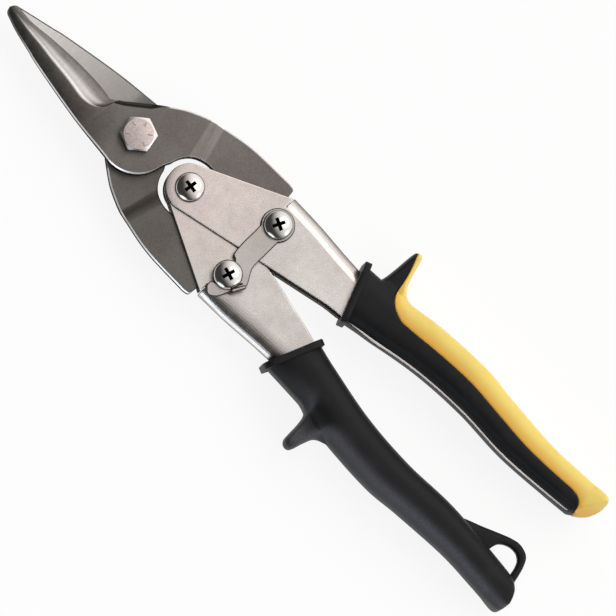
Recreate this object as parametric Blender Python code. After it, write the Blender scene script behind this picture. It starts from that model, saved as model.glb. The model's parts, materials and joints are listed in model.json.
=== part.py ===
"""Aviation snips: two forged blades, a compound four-bar linkage of folded steel handles, moulded
grips and a thumb catch. Closed and latched. +X runs to the blade tips, +Z up, origin on the pivot
axis at the plane that the tool rests on. Sizes are in millimetres and become metres in add_object."""

import math

import bmesh
import bpy
import numpy as np

MM = 0.001
FIT = 0.3  # gap between pieces that touch
RUNNING = 0.2  # radial clearance of a shaft in its hole
LOOP_PLAY = 0.5  # radial clearance where the four-bar linkage is closed
PAST = 4.0  # how far a cutter runs past what it cuts
REST_DEPTH = 10.0  # from the blades' mid-plane down to the rest plane

# Linkage
HINGE_X = -24.5
PIN_X = -54.1
PIN_Y = 11.9

# Blades
JAW_TIP_X = 60.9
TIP_RADIUS = 2.0
TIP_Y = 0.6
BLADE_THICK = 4.2
BLADE_GAP = 0.15  # from the mid-plane to a blade's flat face
DISC_RADIUS = 13.0
NOTCH_RADIUS = 10.2
TANG_THICK = 3.5
TANG_END_X = -49.6
TONGUE_RADIUS = 7.5
EDGE_THICK = 0.7
RIM_CHAMFER = 0.6
NARROW_RIM = 0.12  # greatest share of a row that the chamfer takes
TIP_RIDGE_Z = 2.6
JAW_BACK = [(39.5, 7.35), (19.5, 10.8)]
CUT_EDGE = [(33.3, -2.2), (15.2, -1.7)]
# Outline from the shoulder behind the cutting edge, round the disc, past the joggle, to the tang's end
BLADE_RIM = [(15.2, -1.7), (11.8, -4.6), (9.0, -7.0), (3.6, -11.4), (-3.9, -16.8), (-7.2, -18.7),
             (-10.5, -20.2), (-13.3, -21.3), (-18.8, -22.95), (-30.5, -25.0), (TANG_END_X + 2.4, -25.5)]
TANG_CORNER = [(TANG_END_X + 0.4, -25.2), (TANG_END_X, -24.6), (TANG_END_X, -21.2)]
FLANK_DROP = 1.5
HOLLOW_DEPTH = 0.7

# Handle channels
SHEET = 1.4
EAR_RADIUS = 8.1
WEB_START_X = -52.3
UPPER_BEND = 4.6
LOWER_BEND = 3.3
STEEL_SHOW = 1.2  # how far the upper channel's edges stand past its grip
GRIP_WALL = 1.6  # cover over the lower channel's edges

# Grips
GRIP_HALF_DEPTH = REST_DEPTH
GRIP_FRONT_X = -87.3
GRIP_LENGTH = 110.8
GRIP_CAP = 12.5  # solid end of a grip, behind its channel
WEB_COVER = 3.9  # grip over the channel's web
COLLAR_BACK = 1.3  # where the sleeve starts, behind the reference for its outline
COLLAR_THICK = 2.4
COLLAR_PROUD = 1.1
COLLAR_SLANT = 0.33
HORN_HALF_DEPTH = 6.0
INLAY_THICK = 2.2
LOOP_HALF_DEPTH = 2.0

# Fasteners
PIVOT_RADIUS = 3.175
PIVOT_HEX = 11.1
PIVOT_HEAD = 4.0
PIVOT_TURN = 40.3  # turn of the hex head in the photo, in degrees
CROWN_RADIUS = 5.25  # flat of the chamfered hex head
CROWN_SLOPE = 0.5
WASHER_RADIUS = 6.6
WASHER_THICK = 1.2
SCREW_RADIUS = 2.5
SCREW_HEAD_RADIUS = 4.75
SCREW_HEAD = 2.9
SLEEVE_RADIUS = 3.6
SPACER_RADIUS = 6.0
NUT_HEX = 8.0
NUT_THICK = 3.6

# Catch and spring
CATCH_THICK = 1.2
CATCH_EYE_RADIUS = 5.8
CATCH_TAB_HEIGHT = 3.2
CATCH_TAB_LENGTH = 5.0
SPRING_WIRE = 1.1
SPRING_RADIUS = 5.6
SPRING_TURNS = 2.5
SPRING_LEG = 15.0

HINGE = (HINGE_X, 0.0, 0.0)
UPPER_PIN = (PIN_X, -PIN_Y, 0.0)
LOWER_PIN = (PIN_X, PIN_Y, 0.0)
PIVOT = (0.0, 0.0, 0.0)
TANG_HALF = TANG_THICK / 2
LOWER_INNER = TANG_HALF + FIT
LOWER_OUTER = LOWER_INNER + SHEET
UPPER_INNER = LOWER_OUTER + FIT
UPPER_OUTER = UPPER_INNER + SHEET
CATCH_Z = UPPER_OUTER + FIT
CATCH_TOP = CATCH_Z + CATCH_THICK
BLADE_TOP = BLADE_GAP + BLADE_THICK

GRIP_END_X = GRIP_FRONT_X - GRIP_LENGTH
CHANNEL_END_X = GRIP_END_X + GRIP_CAP
COLLAR_X = GRIP_FRONT_X - COLLAR_BACK

# Edges of one handle: share of the grip's length behind its front, distance from the centre line
GRIP_OUTER = [(-0.1, 23.7), (0.114, 25.0), (0.267, 27.4), (0.447, 28.4), (0.568, 27.2), (0.748, 25.9),
              (0.87, 26.4), (1.0, 27.4)]
GRIP_INNER = [(-0.1, 3.0), (0.033, 5.3), (0.119, 7.5), (0.303, 11.4), (0.483, 12.8), (0.663, 12.1),
              (0.834, 13.4), (1.0, 15.2)]
WEB_FRONT = [(WEB_START_X, 23.0), (WEB_START_X - 12.0, 22.7), (GRIP_FRONT_X + 7.0, 21.6)]
EAR_INNER_SLOPE = 0.222  # the ear's inner edge crosses the centre line on its way back
EAR_OUTER_SLOPE = 0.487


# Guard horns, from root to tip to root: distance behind the grip's front, distance from the centre line
UPPER_HORN = [(2.7, 20.0), (3.9, 24.5), (4.7, 33.0), (5.7, 38.9), (8.4, 38.9), (10.7, 31.0), (13.3, 27.2),
              (18.7, 20.0)]
LOWER_HORN = [(14.3, 20.0), (17.7, 25.5), (18.7, 31.0), (19.2, 37.0), (22.4, 38.0), (24.2, 32.5),
              (26.7, 28.8), (32.1, 20.0)]
# Front of the inlay, down the horn's back, placed as the horns are
INLAY_FRONT = [(6.6, 44.0), (7.9, 37.0), (11.3, 26.5), (12.3, 21.9), (16.2, 18.6), (20.7, 17.7)]
# Long side and end of the inlay, placed as the grip's edges are
INLAY_SIDE = [(0.321, 19.5), (0.447, 19.9), (0.582, 19.3), (0.681, 18.6), (0.822, 18.8), (0.882, 19.9),
              (0.928, 18.5), (0.94, 15.0), (0.941, 11.0)]
# Hanging loop: distance ahead of the grip's end, distance from the centre line
LOOP_OUTER = [(35.1, 14.0), (25.3, 9.8), (15.0, 5.4), (10.4, 5.1), (6.9, 6.9), (5.4, 10.0), (3.8, 17.0)]
LOOP_HOLE = [(18.3, 15.0), (17.1, 10.2), (13.5, 8.2), (9.7, 8.4), (7.9, 11.0), (6.8, 16.0)]
CATCH_RAMP = 23.4  # the way the keeper leaves the hook, from +X, in degrees
CATCH_ARM = 4.6
GRIP_TAPER = 1.6  # loss of half depth towards the grip's ends
GRIP_MIDDLE = 14.0
END_ROUND = 5.0
END_CUT_INNER = 6.4  # how much the end takes off the grip's inner corner and its outer one
END_CUT_OUTER = 2.0


def clear_scene():
    for old in list(bpy.data.objects):
        bpy.data.objects.remove(old, do_unlink=True)


def make_material(name, colour, roughness, metallic):
    material = bpy.data.materials.new(name)
    material.use_nodes = True
    shader = material.node_tree.nodes["Principled BSDF"]
    shader.inputs["Base Color"].default_value = (*colour, 1.0)
    shader.inputs["Roughness"].default_value = roughness
    shader.inputs["Metallic"].default_value = metallic
    return material


def make_axis(name, place, parent=None):
    """An empty on a joint's axis, which carries the pieces that turn with it."""
    empty = bpy.data.objects.new(name, None)
    bpy.context.scene.collection.objects.link(empty)
    base = np.array(parent["place"]) if parent else np.zeros(3)
    empty["place"] = list(map(float, place))
    empty.location = (np.array(place) - base) * MM
    empty.parent = parent
    return empty


def add_object(name, axis, points, faces, material=None):
    """A mesh whose origin is its axis. With no material it is a cutter or a shape to join on."""
    mesh = bpy.data.meshes.new(name)
    local = (np.asarray(points, float) - np.array(axis["place"])) * MM
    mesh.from_pydata(local.tolist(), [], faces)
    shape = bmesh.new()
    shape.from_mesh(mesh)
    bmesh.ops.recalc_face_normals(shape, faces=shape.faces)
    shape.to_mesh(mesh)
    shape.free()
    mesh.shade_smooth()
    mesh.set_sharp_from_angle(angle=math.radians(32))
    piece = bpy.data.objects.new(name, mesh)
    bpy.context.scene.collection.objects.link(piece)
    piece.parent = axis
    if material:
        mesh.materials.append(material)
    else:
        piece.hide_render = True
        piece.display_type = "WIRE"
    return piece


def loft(name, axis, sections, material=None):
    """Closed rings of equal length joined in order, with the first and the last one filled."""
    rings = np.asarray(sections, float)
    count, size, _ = rings.shape
    faces = []
    for ring in range(count - 1):
        for i in range(size):
            j = (i + 1) % size
            faces.append((ring * size + i, ring * size + j, (ring + 1) * size + j, (ring + 1) * size + i))
    faces.append(tuple(range(size)))
    faces.append(tuple((count - 1) * size + i for i in range(size)))
    return add_object(name, axis, rings.reshape(-1, 3), faces, material)


def prism(name, axis, outline, low, high, material=None):
    flat = np.asarray(outline, float)
    rings = [np.column_stack([flat, np.full(len(flat), z)]) for z in (low, high)]
    return loft(name, axis, rings, material)


def turned(name, axis, centre, profile, material=None, steps=26):
    """A solid of revolution about a line through centre along Z, from (radius, z) pairs. A profile
    that starts and ends on the axis is a full body, any other one closes on itself as a ring."""
    angles = np.arange(steps) * 2 * math.pi / steps
    points = []
    rows = []
    for radius, z in profile:
        if radius == 0:
            rows.append([len(points)] * steps)
            points.append((centre[0], centre[1], z))
            continue
        rows.append(list(range(len(points), len(points) + steps)))
        points += [(centre[0] + radius * math.cos(a), centre[1] + radius * math.sin(a), z) for a in angles]
    faces = []
    pairs = list(zip(rows, rows[1:]))
    if profile[0][0] > 0:
        pairs.append((rows[-1], rows[0]))
    for low, high in pairs:
        for i in range(steps):
            j = (i + 1) % steps
            face = list(dict.fromkeys((low[i], low[j], high[j], high[i])))
            faces.append(tuple(face))
    return add_object(name, axis, points, faces, material)


def arc(centre, radius, start, end, count):
    """Points on a circle from one angle to another, in degrees."""
    angles = np.radians(np.linspace(start, end, count))
    return np.column_stack([centre[0] + radius * np.cos(angles), centre[1] + radius * np.sin(angles)])


def curve(points, count, first=0, last=None):
    """Points at even parameters on a smooth curve through the given ones, or on its part between two."""
    keys = np.asarray(points, float)
    padded = np.vstack([2 * keys[0] - keys[1], keys, 2 * keys[-1] - keys[-2]])
    place = np.linspace(first, len(keys) - 1 if last is None else last, count)
    span = np.minimum(place.astype(int), len(keys) - 2)
    t = (place - span)[:, None]
    a, b, c, d = (padded[span + i] for i in range(4))
    return 0.5 * (2 * b + (c - a) * t + (2 * a - 5 * b + 4 * c - d) * t**2 + (3 * b - a - 3 * c + d) * t**3)


def edge_at(keys, x):
    """Height of a smooth edge at places along the handle, which runs to lower x."""
    line = curve(keys, 12 * len(keys))
    return np.interp(-np.asarray(x, float), -line[:, 0], line[:, 1])


def by_share(keys):
    """Points along a grip from shares of its length."""
    return [(GRIP_FRONT_X - share * GRIP_LENGTH, v) for share, v in keys]


def behind(x, keys):
    """Points from distances behind a place on the handle."""
    return [(x - back, v) for back, v in keys]


def grip_outer(x):
    return edge_at(by_share(GRIP_OUTER), x)


def grip_inner(x):
    return edge_at(by_share(GRIP_INNER), x)


def web_outer(x):
    """Outside of a channel's web: bare in front of the grip, then under an even cover of grip."""
    covered = np.linspace(GRIP_FRONT_X - 13.0, CHANNEL_END_X - PAST, 7)
    return edge_at(WEB_FRONT + list(zip(covered, grip_outer(covered) - WEB_COVER)), x)


def combine(piece, other, operation):
    step = piece.modifiers.new(other.name, "BOOLEAN")
    step.object = other
    step.operation = operation
    step.solver = "EXACT"
    step.use_self = True


def drill(piece, axis, centre, radius, low, high):
    hole = turned(f"{piece.name}_hole_{len(piece.modifiers)}", axis, centre,
                  [(0, low), (radius, low), (radius, high), (0, high)])
    combine(piece, hole, "DIFFERENCE")


def blade_sides():
    """The two long edges of the front blade from tip to tongue, as rows of matched points, with how
    much of the jaw's grind and of the tang's joggle each row has."""
    tip = (JAW_TIP_X - TIP_RADIUS, TIP_Y)
    jaw_line = curve([(tip[0], TIP_Y + TIP_RADIUS), *JAW_BACK, (2.7, DISC_RADIUS - 0.3)], 17)
    cut_line = curve([(tip[0], TIP_Y - TIP_RADIUS), *CUT_EDGE], 12)
    notch = (HINGE_X, 0.0)
    disc_end = arc(PIVOT, DISC_RADIUS, 165, 165, 1)[0]
    notch_start = arc(notch, NOTCH_RADIUS, -9, -9, 1)[0]
    notch_end = arc(notch, NOTCH_RADIUS, -125, -125, 1)[0]
    tongue = UPPER_PIN
    back = [
        arc(tip, TIP_RADIUS, 12, 90, 4),
        jaw_line[1:12],
        jaw_line[12:],
        arc(PIVOT, DISC_RADIUS, 86, 165, 8),
        curve([disc_end, (disc_end + notch_start) / 2 + (0.3, 0.1), notch_start], 4)[1:],
        arc(notch, NOTCH_RADIUS, -16, -40, 3),
        arc(notch, NOTCH_RADIUS, -59, -78, 2),
        np.vstack([arc(notch, NOTCH_RADIUS, -101, -125, 2),
                   curve([notch_end, (tongue[0], tongue[1] + TONGUE_RADIUS)], 7)[1:6]]),
        curve([notch_end, (tongue[0], tongue[1] + TONGUE_RADIUS)], 26)[22:26],
        arc(tongue, TONGUE_RADIUS, 105, 168, 5),
    ]
    edge = [
        arc(tip, TIP_RADIUS, -12, -90, 4),
        cut_line[1:],
        curve(BLADE_RIM, 6, 0, 2)[1:],
        curve(BLADE_RIM, 9, 2, 4)[1:],
        curve(BLADE_RIM, 4, 4, 5)[1:],
        curve(BLADE_RIM, 4, 5, 7)[1:],
        curve(BLADE_RIM, 3, 7, 8)[1:],
        curve(BLADE_RIM, 8, 8, 10)[1:],
        np.vstack([TANG_CORNER, arc(tongue, TONGUE_RADIUS, -62, -62, 1)]),
        arc(tongue, TONGUE_RADIUS, -84, -168, 5),
    ]
    jaw = [np.ones(len(part)) * (i < 2) for i, part in enumerate(back)]
    jaw[2] = np.linspace(0.85, 0.0, len(back[2]))
    joggle = [np.ones(len(part)) * (i > 6) for i, part in enumerate(back)]
    joggle[6] = np.array([0.5, 1.0])
    return np.vstack(back), np.vstack(edge), np.concatenate(jaw), np.concatenate(joggle)


def make_blade(name, axis, turn, pin, pin_play, material):
    """A forged blade. Across each row its top runs over the flank up to the ridge, then down the
    hollow grind to the cutting edge. turn is -1 for the blade that lies turned over about X."""
    back, edge, jaw, joggle = blade_sides()
    ridge = 0.5 - 0.03 * jaw
    rim = np.minimum(RIM_CHAMFER / np.linalg.norm(edge - back, axis=1), NARROW_RIM)[:, None]
    flank = ridge[:, None] * (0.5, 1.0)
    hollow = ridge[:, None] + (1 - ridge)[:, None] * (0.35, 0.7)
    across = np.hstack([0 * rim, rim, flank, hollow, 1 - rim, 0 * rim + 1])
    rows = back[:, None, :] + across[:, :, None] * (edge - back)[:, None, :]
    level = np.interp(rows[:, :, 0], (JAW_TIP_X - 36.0, JAW_TIP_X), (BLADE_TOP, TIP_RIDGE_Z))
    level = BLADE_TOP + jaw[:, None] * (level - BLADE_TOP)
    before = np.clip(1 - across / ridge[:, None], 0, 1)
    after = np.clip((across - ridge[:, None]) / (1 - ridge)[:, None], 0, 1)
    grind = (level - BLADE_GAP - EDGE_THICK) * (1 - (1 - after) ** (1 + HOLLOW_DEPTH))
    top = level - jaw[:, None] * (FLANK_DROP * before**2 + grind)
    top += joggle[:, None] * (TANG_HALF - BLADE_TOP)
    low = BLADE_GAP + joggle[:, None] * (-TANG_HALF - BLADE_GAP) + 0 * top
    top[:, 0] -= RIM_CHAMFER
    top[:, -1] -= RIM_CHAMFER * (1 - jaw)
    upper_points = np.dstack([rows, top])
    lower_points = np.dstack([rows, low])[:, ::-1]
    sections = np.concatenate([upper_points, lower_points], axis=1)
    sections[:, :, 1:] *= turn
    blade = loft(name, axis, sections, material)
    reach = UPPER_OUTER + PAST
    drill(blade, axis, PIVOT, PIVOT_RADIUS + RUNNING, -reach, reach)
    drill(blade, axis, pin, SLEEVE_RADIUS + pin_play, -reach, reach)
    return blade


def hexagon(centre, flats, turn=0.0):
    return arc(centre, flats / math.sqrt(3), turn, turn + 300, 6)


def make_nut(name, axis, centre, flats, hole, top, bottom, turn, material):
    nut = prism(name, axis, hexagon(centre, flats, turn), bottom, top, material)
    drill(nut, axis, centre, hole, bottom - PAST, top + PAST)
    return nut


def make_screw(name, axis, centre, seat, end, material):
    """A pan head on its shank, from the seat under the head down to the shank's end."""
    dome = [(SCREW_HEAD_RADIUS * math.cos(a), seat + 0.7 + (SCREW_HEAD - 0.7) * math.sin(a))
            for a in np.radians((0, 20, 40, 60))]
    profile = [(0, end), (SCREW_RADIUS, end), (SCREW_RADIUS, seat), (SCREW_HEAD_RADIUS, seat)]
    return turned(name, axis, centre, profile + dome + [(0, seat + SCREW_HEAD)], material)


def make_ring(name, axis, centre, inner, outer, low, high, material):
    return turned(name, axis, centre, [(inner, low), (outer, low), (outer, high), (inner, high)], material)


def make_pivot(axis, steel):
    head_seat = BLADE_TOP + FIT
    head_top = head_seat + PIVOT_HEAD
    outline = hexagon(PIVOT, PIVOT_HEX, PIVOT_TURN)
    bolt = prism("pivot_bolt", axis, outline, head_seat, head_top + PAST, steel)
    rim = CROWN_RADIUS + PAST
    cone = [(0, head_seat - PAST), (rim, head_seat - PAST), (rim, head_top - CROWN_SLOPE * PAST),
            (CROWN_RADIUS, head_top), (0, head_top)]
    combine(bolt, turned("pivot_bolt_cone", axis, PIVOT, cone), "INTERSECT")
    shank = turned("pivot_bolt_shank", axis, PIVOT, [(0, -REST_DEPTH), (PIVOT_RADIUS, -REST_DEPTH),
                                                    (PIVOT_RADIUS, head_seat + 1), (0, head_seat + 1)])
    combine(bolt, shank, "UNION")
    washer_top = -BLADE_TOP - FIT
    make_ring("pivot_washer", axis, PIVOT, PIVOT_RADIUS + FIT, WASHER_RADIUS,
              washer_top - WASHER_THICK, washer_top, steel)
    make_nut("pivot_nut", axis, PIVOT, PIVOT_HEX, PIVOT_RADIUS + FIT,
             washer_top - WASHER_THICK - FIT, -REST_DEPTH, 17, steel)


def make_link(name, axis, centre, seat, under, material):
    """One pin of the linkage: the screw, the sleeve that the links turn on, and the lock nut."""
    nut_end = -under - FIT - NUT_THICK
    make_screw(f"{name}_screw", axis, centre, seat, nut_end, material)
    make_ring(f"{name}_sleeve", axis, centre, SCREW_RADIUS + FIT, SLEEVE_RADIUS, -under, under, material)
    make_nut(f"{name}_nut", axis, centre, NUT_HEX, SCREW_RADIUS + FIT, -under - FIT, nut_end, 10, material)


def ear_outer(x):
    """Outer edge of a handle's ear: round about the hinge, then a tangent line to the web."""
    lift = EAR_RADIUS * math.sqrt(1 + EAR_OUTER_SLOPE**2)
    circle = np.sqrt(np.maximum(EAR_RADIUS**2 - (x - HINGE_X) ** 2, 0))
    touch = HINGE_X + EAR_RADIUS * math.sin(math.atan(EAR_OUTER_SLOPE))
    return np.where(x > touch, circle, lift + EAR_OUTER_SLOPE * (HINGE_X - x))


def ear_inner(x):
    lift = EAR_RADIUS * math.sqrt(1 + EAR_INNER_SLOPE**2)
    circle = np.sqrt(np.maximum(EAR_RADIUS**2 - (x - HINGE_X) ** 2, 0))
    touch = HINGE_X - EAR_RADIUS * math.sin(math.atan(EAR_INNER_SLOPE))
    return np.where(x > touch, -circle, EAR_INNER_SLOPE * (HINGE_X - x) - lift)


def channel_inner(x, cover):
    """Inner edge of a channel: the ear's line, then along the grip's inner side at a set cover."""
    start = GRIP_FRONT_X + 3.0
    inside = np.linspace(GRIP_FRONT_X - 16.0, CHANNEL_END_X, 6)
    keys = [(start + 8.0, float(ear_inner(start + 8.0))), (start, float(ear_inner(start)))]
    keys += list(zip(inside, grip_inner(inside) + cover))
    return np.where(x > start, ear_inner(x), edge_at(keys, x))


def channel_section(x, low, high, half, bend):
    """Ring across a handle at x: square at the inner edge, bent at the web. High is the web side."""
    turn = np.radians(np.linspace(90, 0, 5))
    round_v = high - bend + bend * np.cos(turn)
    round_z = half - bend + bend * np.sin(turn)
    v = np.concatenate([[low], round_v, round_v[::-1], [low]])
    z = np.concatenate([[half], round_z, -round_z[::-1], [-half]])
    return np.column_stack([np.full(len(v), x), v, z])


def make_channel(name, axis, side, half, bend, cover, holes, material):
    """A folded handle: a solid of the outer shape with its inside cut out, which leaves two ears in
    front of the web. side is the side of the centre line that its web is on."""
    front = HINGE_X + EAR_RADIUS * np.cos(np.radians((9, 25, 42, 58, 74)))
    ear = np.concatenate([front, np.linspace(HINGE_X - 3, WEB_START_X + 2.6, 6)])
    web = np.concatenate([[WEB_START_X], np.linspace(WEB_START_X - 6, CHANNEL_END_X, 16)])
    outer = [channel_section(x, ear_inner(x), ear_outer(x), half, 0.2) for x in ear]
    outer += [channel_section(x, channel_inner(x, cover), web_outer(x), half, bend) for x in web]
    inner = half - SHEET
    reach = HINGE_X + EAR_RADIUS + PAST
    inside = [channel_section(x, -3 * EAR_RADIUS, 3 * PIN_Y, inner, 0.2) for x in (reach, WEB_START_X)]
    rear = np.append(web[1:], CHANNEL_END_X - PAST)
    rear[0] = WEB_START_X - 0.02
    inside += [channel_section(x, channel_inner(max(x, CHANNEL_END_X), cover) - PAST,
                               web_outer(x) - SHEET, inner, bend - SHEET) for x in rear]
    flip = np.array([1, side, 1])
    channel = loft(name, axis, np.array(outer) * flip, material)
    combine(channel, loft(f"{name}_inside", axis, np.array(inside) * flip), "DIFFERENCE")
    for centre in holes:
        drill(channel, axis, centre, SLEEVE_RADIUS + RUNNING, -half - PAST, half + PAST)
    return channel


def rounded_ring(x, low, high, half, power=3.2, count=24):
    """Ring across a grip at x, between a circle and a rectangle, slanted as its front end is."""
    turn = np.arange(count) * 2 * math.pi / count
    v = (low + high) / 2 + (high - low) / 2 * np.sign(np.cos(turn)) * np.abs(np.cos(turn)) ** (2 / power)
    z = half * np.sign(np.sin(turn)) * np.abs(np.sin(turn)) ** (2 / power)
    fade = np.clip((x - GRIP_FRONT_X + 30.0) / 30.0, 0, 1)
    return np.column_stack([x + COLLAR_SLANT * fade * (v - GRIP_MIDDLE), v, z])


def grip_rings(inset):
    """Rings of a grip's outer shape, moved in by inset. The last ones round off the end."""
    rings = []
    for x in np.linspace(COLLAR_X, GRIP_END_X + END_ROUND, 18):
        share = (GRIP_FRONT_X - x) / GRIP_LENGTH
        half = GRIP_HALF_DEPTH - GRIP_TAPER * abs(share - 0.45) * 2
        rings.append(rounded_ring(x, grip_inner(x) + inset, grip_outer(x) - inset, half - inset))
    low, high = grip_inner(GRIP_END_X), grip_outer(GRIP_END_X)
    last = half
    for turn in np.radians((25, 50, 72)):
        share = 1 - math.cos(turn)
        pull = END_ROUND * share
        x = GRIP_END_X + END_ROUND - (END_ROUND - inset) * math.sin(turn)
        rings.append(rounded_ring(x, low + END_CUT_INNER * share + inset,
                                  high - END_CUT_OUTER * share - inset, last - pull - inset))
    return np.array(rings)


def make_grip(name, axis, side, half, bend, cover, open_inside, horn, material):
    """A moulded sleeve with an oblique collar and a guard horn, hollow for its channel."""
    flip = np.array([1, side, 1])
    grip = loft(name, axis, grip_rings(0.0) * flip, material)
    collar = [rounded_ring(COLLAR_X + x, grip_inner(COLLAR_X) - COLLAR_PROUD,
                           grip_outer(COLLAR_X) + COLLAR_PROUD,
                           GRIP_HALF_DEPTH - GRIP_TAPER + COLLAR_PROUD)
              for x in (COLLAR_THICK / 2, -COLLAR_THICK / 2)]
    combine(grip, loft(f"{name}_collar", axis, np.array(collar) * flip), "UNION")
    outline = np.array(horn) * flip[:2]
    combine(grip, prism(f"{name}_horn", axis, outline, -HORN_HALF_DEPTH, HORN_HALF_DEPTH), "UNION")
    stations = np.linspace(GRIP_FRONT_X + 16.0, CHANNEL_END_X - FIT, 18)
    low_gap = PAST if open_inside else FIT
    room = [channel_section(x, channel_inner(x, cover) - low_gap, web_outer(x) + FIT,
                            half + FIT, bend) for x in stations]
    return grip, loft(f"{name}_room", axis, np.array(room) * flip)


def horn_outline(keys):
    """Round at the tip's two corners only, where the front and the back curve meet."""
    points = behind(GRIP_FRONT_X, keys)
    return np.vstack([curve(points[:4], 13), curve(points[4:], 13)])


def make_upper_grip(axis, black, yellow):
    """The upper grip and the second moulding along its back, which share one outer surface."""
    horn = horn_outline(UPPER_HORN)
    grip, room = make_grip("upper_grip", axis, -1, UPPER_OUTER, UPPER_BEND, -STEEL_SHOW, True, horn, black)
    inlay = loft("upper_inlay", axis, grip_rings(0.0) * np.array([1, -1, 1]), yellow)
    combine(inlay, bpy.data.objects["upper_grip_horn"], "UNION")
    line = curve(behind(GRIP_FRONT_X, INLAY_FRONT) + by_share(INLAY_SIDE), 60)
    beyond = 2 * GRIP_END_X
    regions = []
    for grow in (0.0, FIT):
        far = [(beyond, line[-1][1]), (beyond, line[0][1])]
        outline = np.vstack([line + (grow, -grow), far]) * (1, -1)
        regions.append(prism(f"inlay_region_{len(regions)}", axis, outline, -2 * REST_DEPTH, 2 * REST_DEPTH))
    core = loft("inlay_core", axis, grip_rings(INLAY_THICK) * np.array([1, -1, 1]))
    inner_core = loft("inlay_inner_core", axis, grip_rings(INLAY_THICK + FIT) * np.array([1, -1, 1]))
    combine(inlay, regions[0], "INTERSECT")
    combine(inlay, core, "DIFFERENCE")
    combine(regions[1], inner_core, "DIFFERENCE")
    combine(grip, regions[1], "DIFFERENCE")
    combine(grip, room, "DIFFERENCE")


def make_lower_grip(axis, black):
    horn = horn_outline(LOWER_HORN)
    grip, room = make_grip("lower_grip", axis, 1, LOWER_OUTER, LOWER_BEND, GRIP_WALL, False, horn, black)
    around = curve(LOOP_OUTER, 25) * (-1, 1)
    outline = np.vstack([around, [(around[-1][0], 20.0), (around[0][0], 20.0)]])
    ring = prism("hanging_loop", axis, behind(GRIP_END_X, outline), -LOOP_HALF_DEPTH, LOOP_HALF_DEPTH)
    around = curve(LOOP_HOLE, 17) * (-1, 1)
    hole = behind(GRIP_END_X, np.vstack([around, [(around[-1][0], 18.0), (around[0][0], 18.0)]]))
    combine(ring, prism("hanging_loop_hole", axis, hole, -PAST, PAST), "DIFFERENCE")
    combine(grip, ring, "UNION")
    combine(grip, room, "DIFFERENCE")


def make_catch(axis, steel):
    """A sheet catch: an eye on the upper pin, a bar, and a hook whose mouth opens forward."""
    seat = SLEEVE_RADIUS + FIT
    ramp = math.radians(CATCH_RAMP)
    touch = np.array([-math.sin(ramp), math.cos(ramp)]) * seat
    arm = touch + np.array([math.cos(ramp), math.sin(ramp)]) * CATCH_ARM
    pin = np.array(LOWER_PIN[:2])
    rear = [(PIN_X - 4.1, -2.0), (PIN_X - 4.3, PIN_Y - 7.5), (PIN_X - 7.1, PIN_Y - 1.6),
            (PIN_X - 4.8, PIN_Y + 2.9), (PIN_X - 2.6, PIN_Y + 7.6), (PIN_X + 0.2, PIN_Y + 9.3),
            (PIN_X + 2.6, PIN_Y + 7.4)]
    outline = np.vstack([
        arc(UPPER_PIN, CATCH_EYE_RADIUS, 45, -225, 20),
        curve(rear, 19),
        [pin + arm],
        arc(pin, seat, 90 + CATCH_RAMP, 275, 10),
        [(PIN_X + 2.2, PIN_Y - 5.6), (PIN_X + 3.6, PIN_Y - 6.6), (PIN_X + 4.1, 1.0), (PIN_X + 4.1, -4.5)],
    ])
    catch = prism("catch_plate", axis, outline, CATCH_Z, CATCH_TOP, steel)
    along = np.array([0.47, 0.88])
    back = np.array([-0.88, 0.47])
    foot = np.array([PIN_X - 6.7, PIN_Y - 1.2])
    end = foot + CATCH_TAB_LENGTH * along
    tab = [foot - 0.5 * back, end - 0.5 * back, end + CATCH_THICK * back, foot + CATCH_THICK * back]
    combine(catch, prism("catch_tab", axis, tab, CATCH_Z + 0.1, CATCH_TOP + CATCH_TAB_HEIGHT), "UNION")
    drill(catch, axis, UPPER_PIN, SCREW_RADIUS + RUNNING, CATCH_Z - PAST, CATCH_TOP + PAST)


def make_spring(axis, steel):
    """Torsion spring round the hinge sleeve, with a leg along the inner edge of each tang."""
    turn = np.linspace(-math.pi / 2, -math.pi / 2 + 2 * math.pi * SPRING_TURNS, 46)
    rise = (LOWER_INNER - FIT / 2 - SPRING_WIRE / 2) * np.linspace(-1, 1, len(turn))
    coil = np.column_stack([HINGE_X + SPRING_RADIUS * np.cos(turn), SPRING_RADIUS * np.sin(turn), rise])
    legs = np.linspace(1, 0.15, 4)
    first = [coil[0] + (-SPRING_LEG * s, -0.3 * s, 0) for s in legs]
    last = [coil[-1] + (-SPRING_LEG * s, 0.3 * s, 0) for s in legs[::-1]]
    path = np.vstack([first, coil, last])
    ahead = np.gradient(path, axis=0)
    ahead /= np.linalg.norm(ahead, axis=1)[:, None]
    across = np.cross(ahead, (0, 0, 1))
    across /= np.linalg.norm(across, axis=1)[:, None]
    up = np.cross(across, ahead)
    angles = np.radians(np.arange(0, 360, 60))
    rings = path[:, None] + SPRING_WIRE / 2 * (np.cos(angles)[None, :, None] * across[:, None]
                                               + np.sin(angles)[None, :, None] * up[:, None])
    loft("return_spring", axis, rings, steel)


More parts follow.
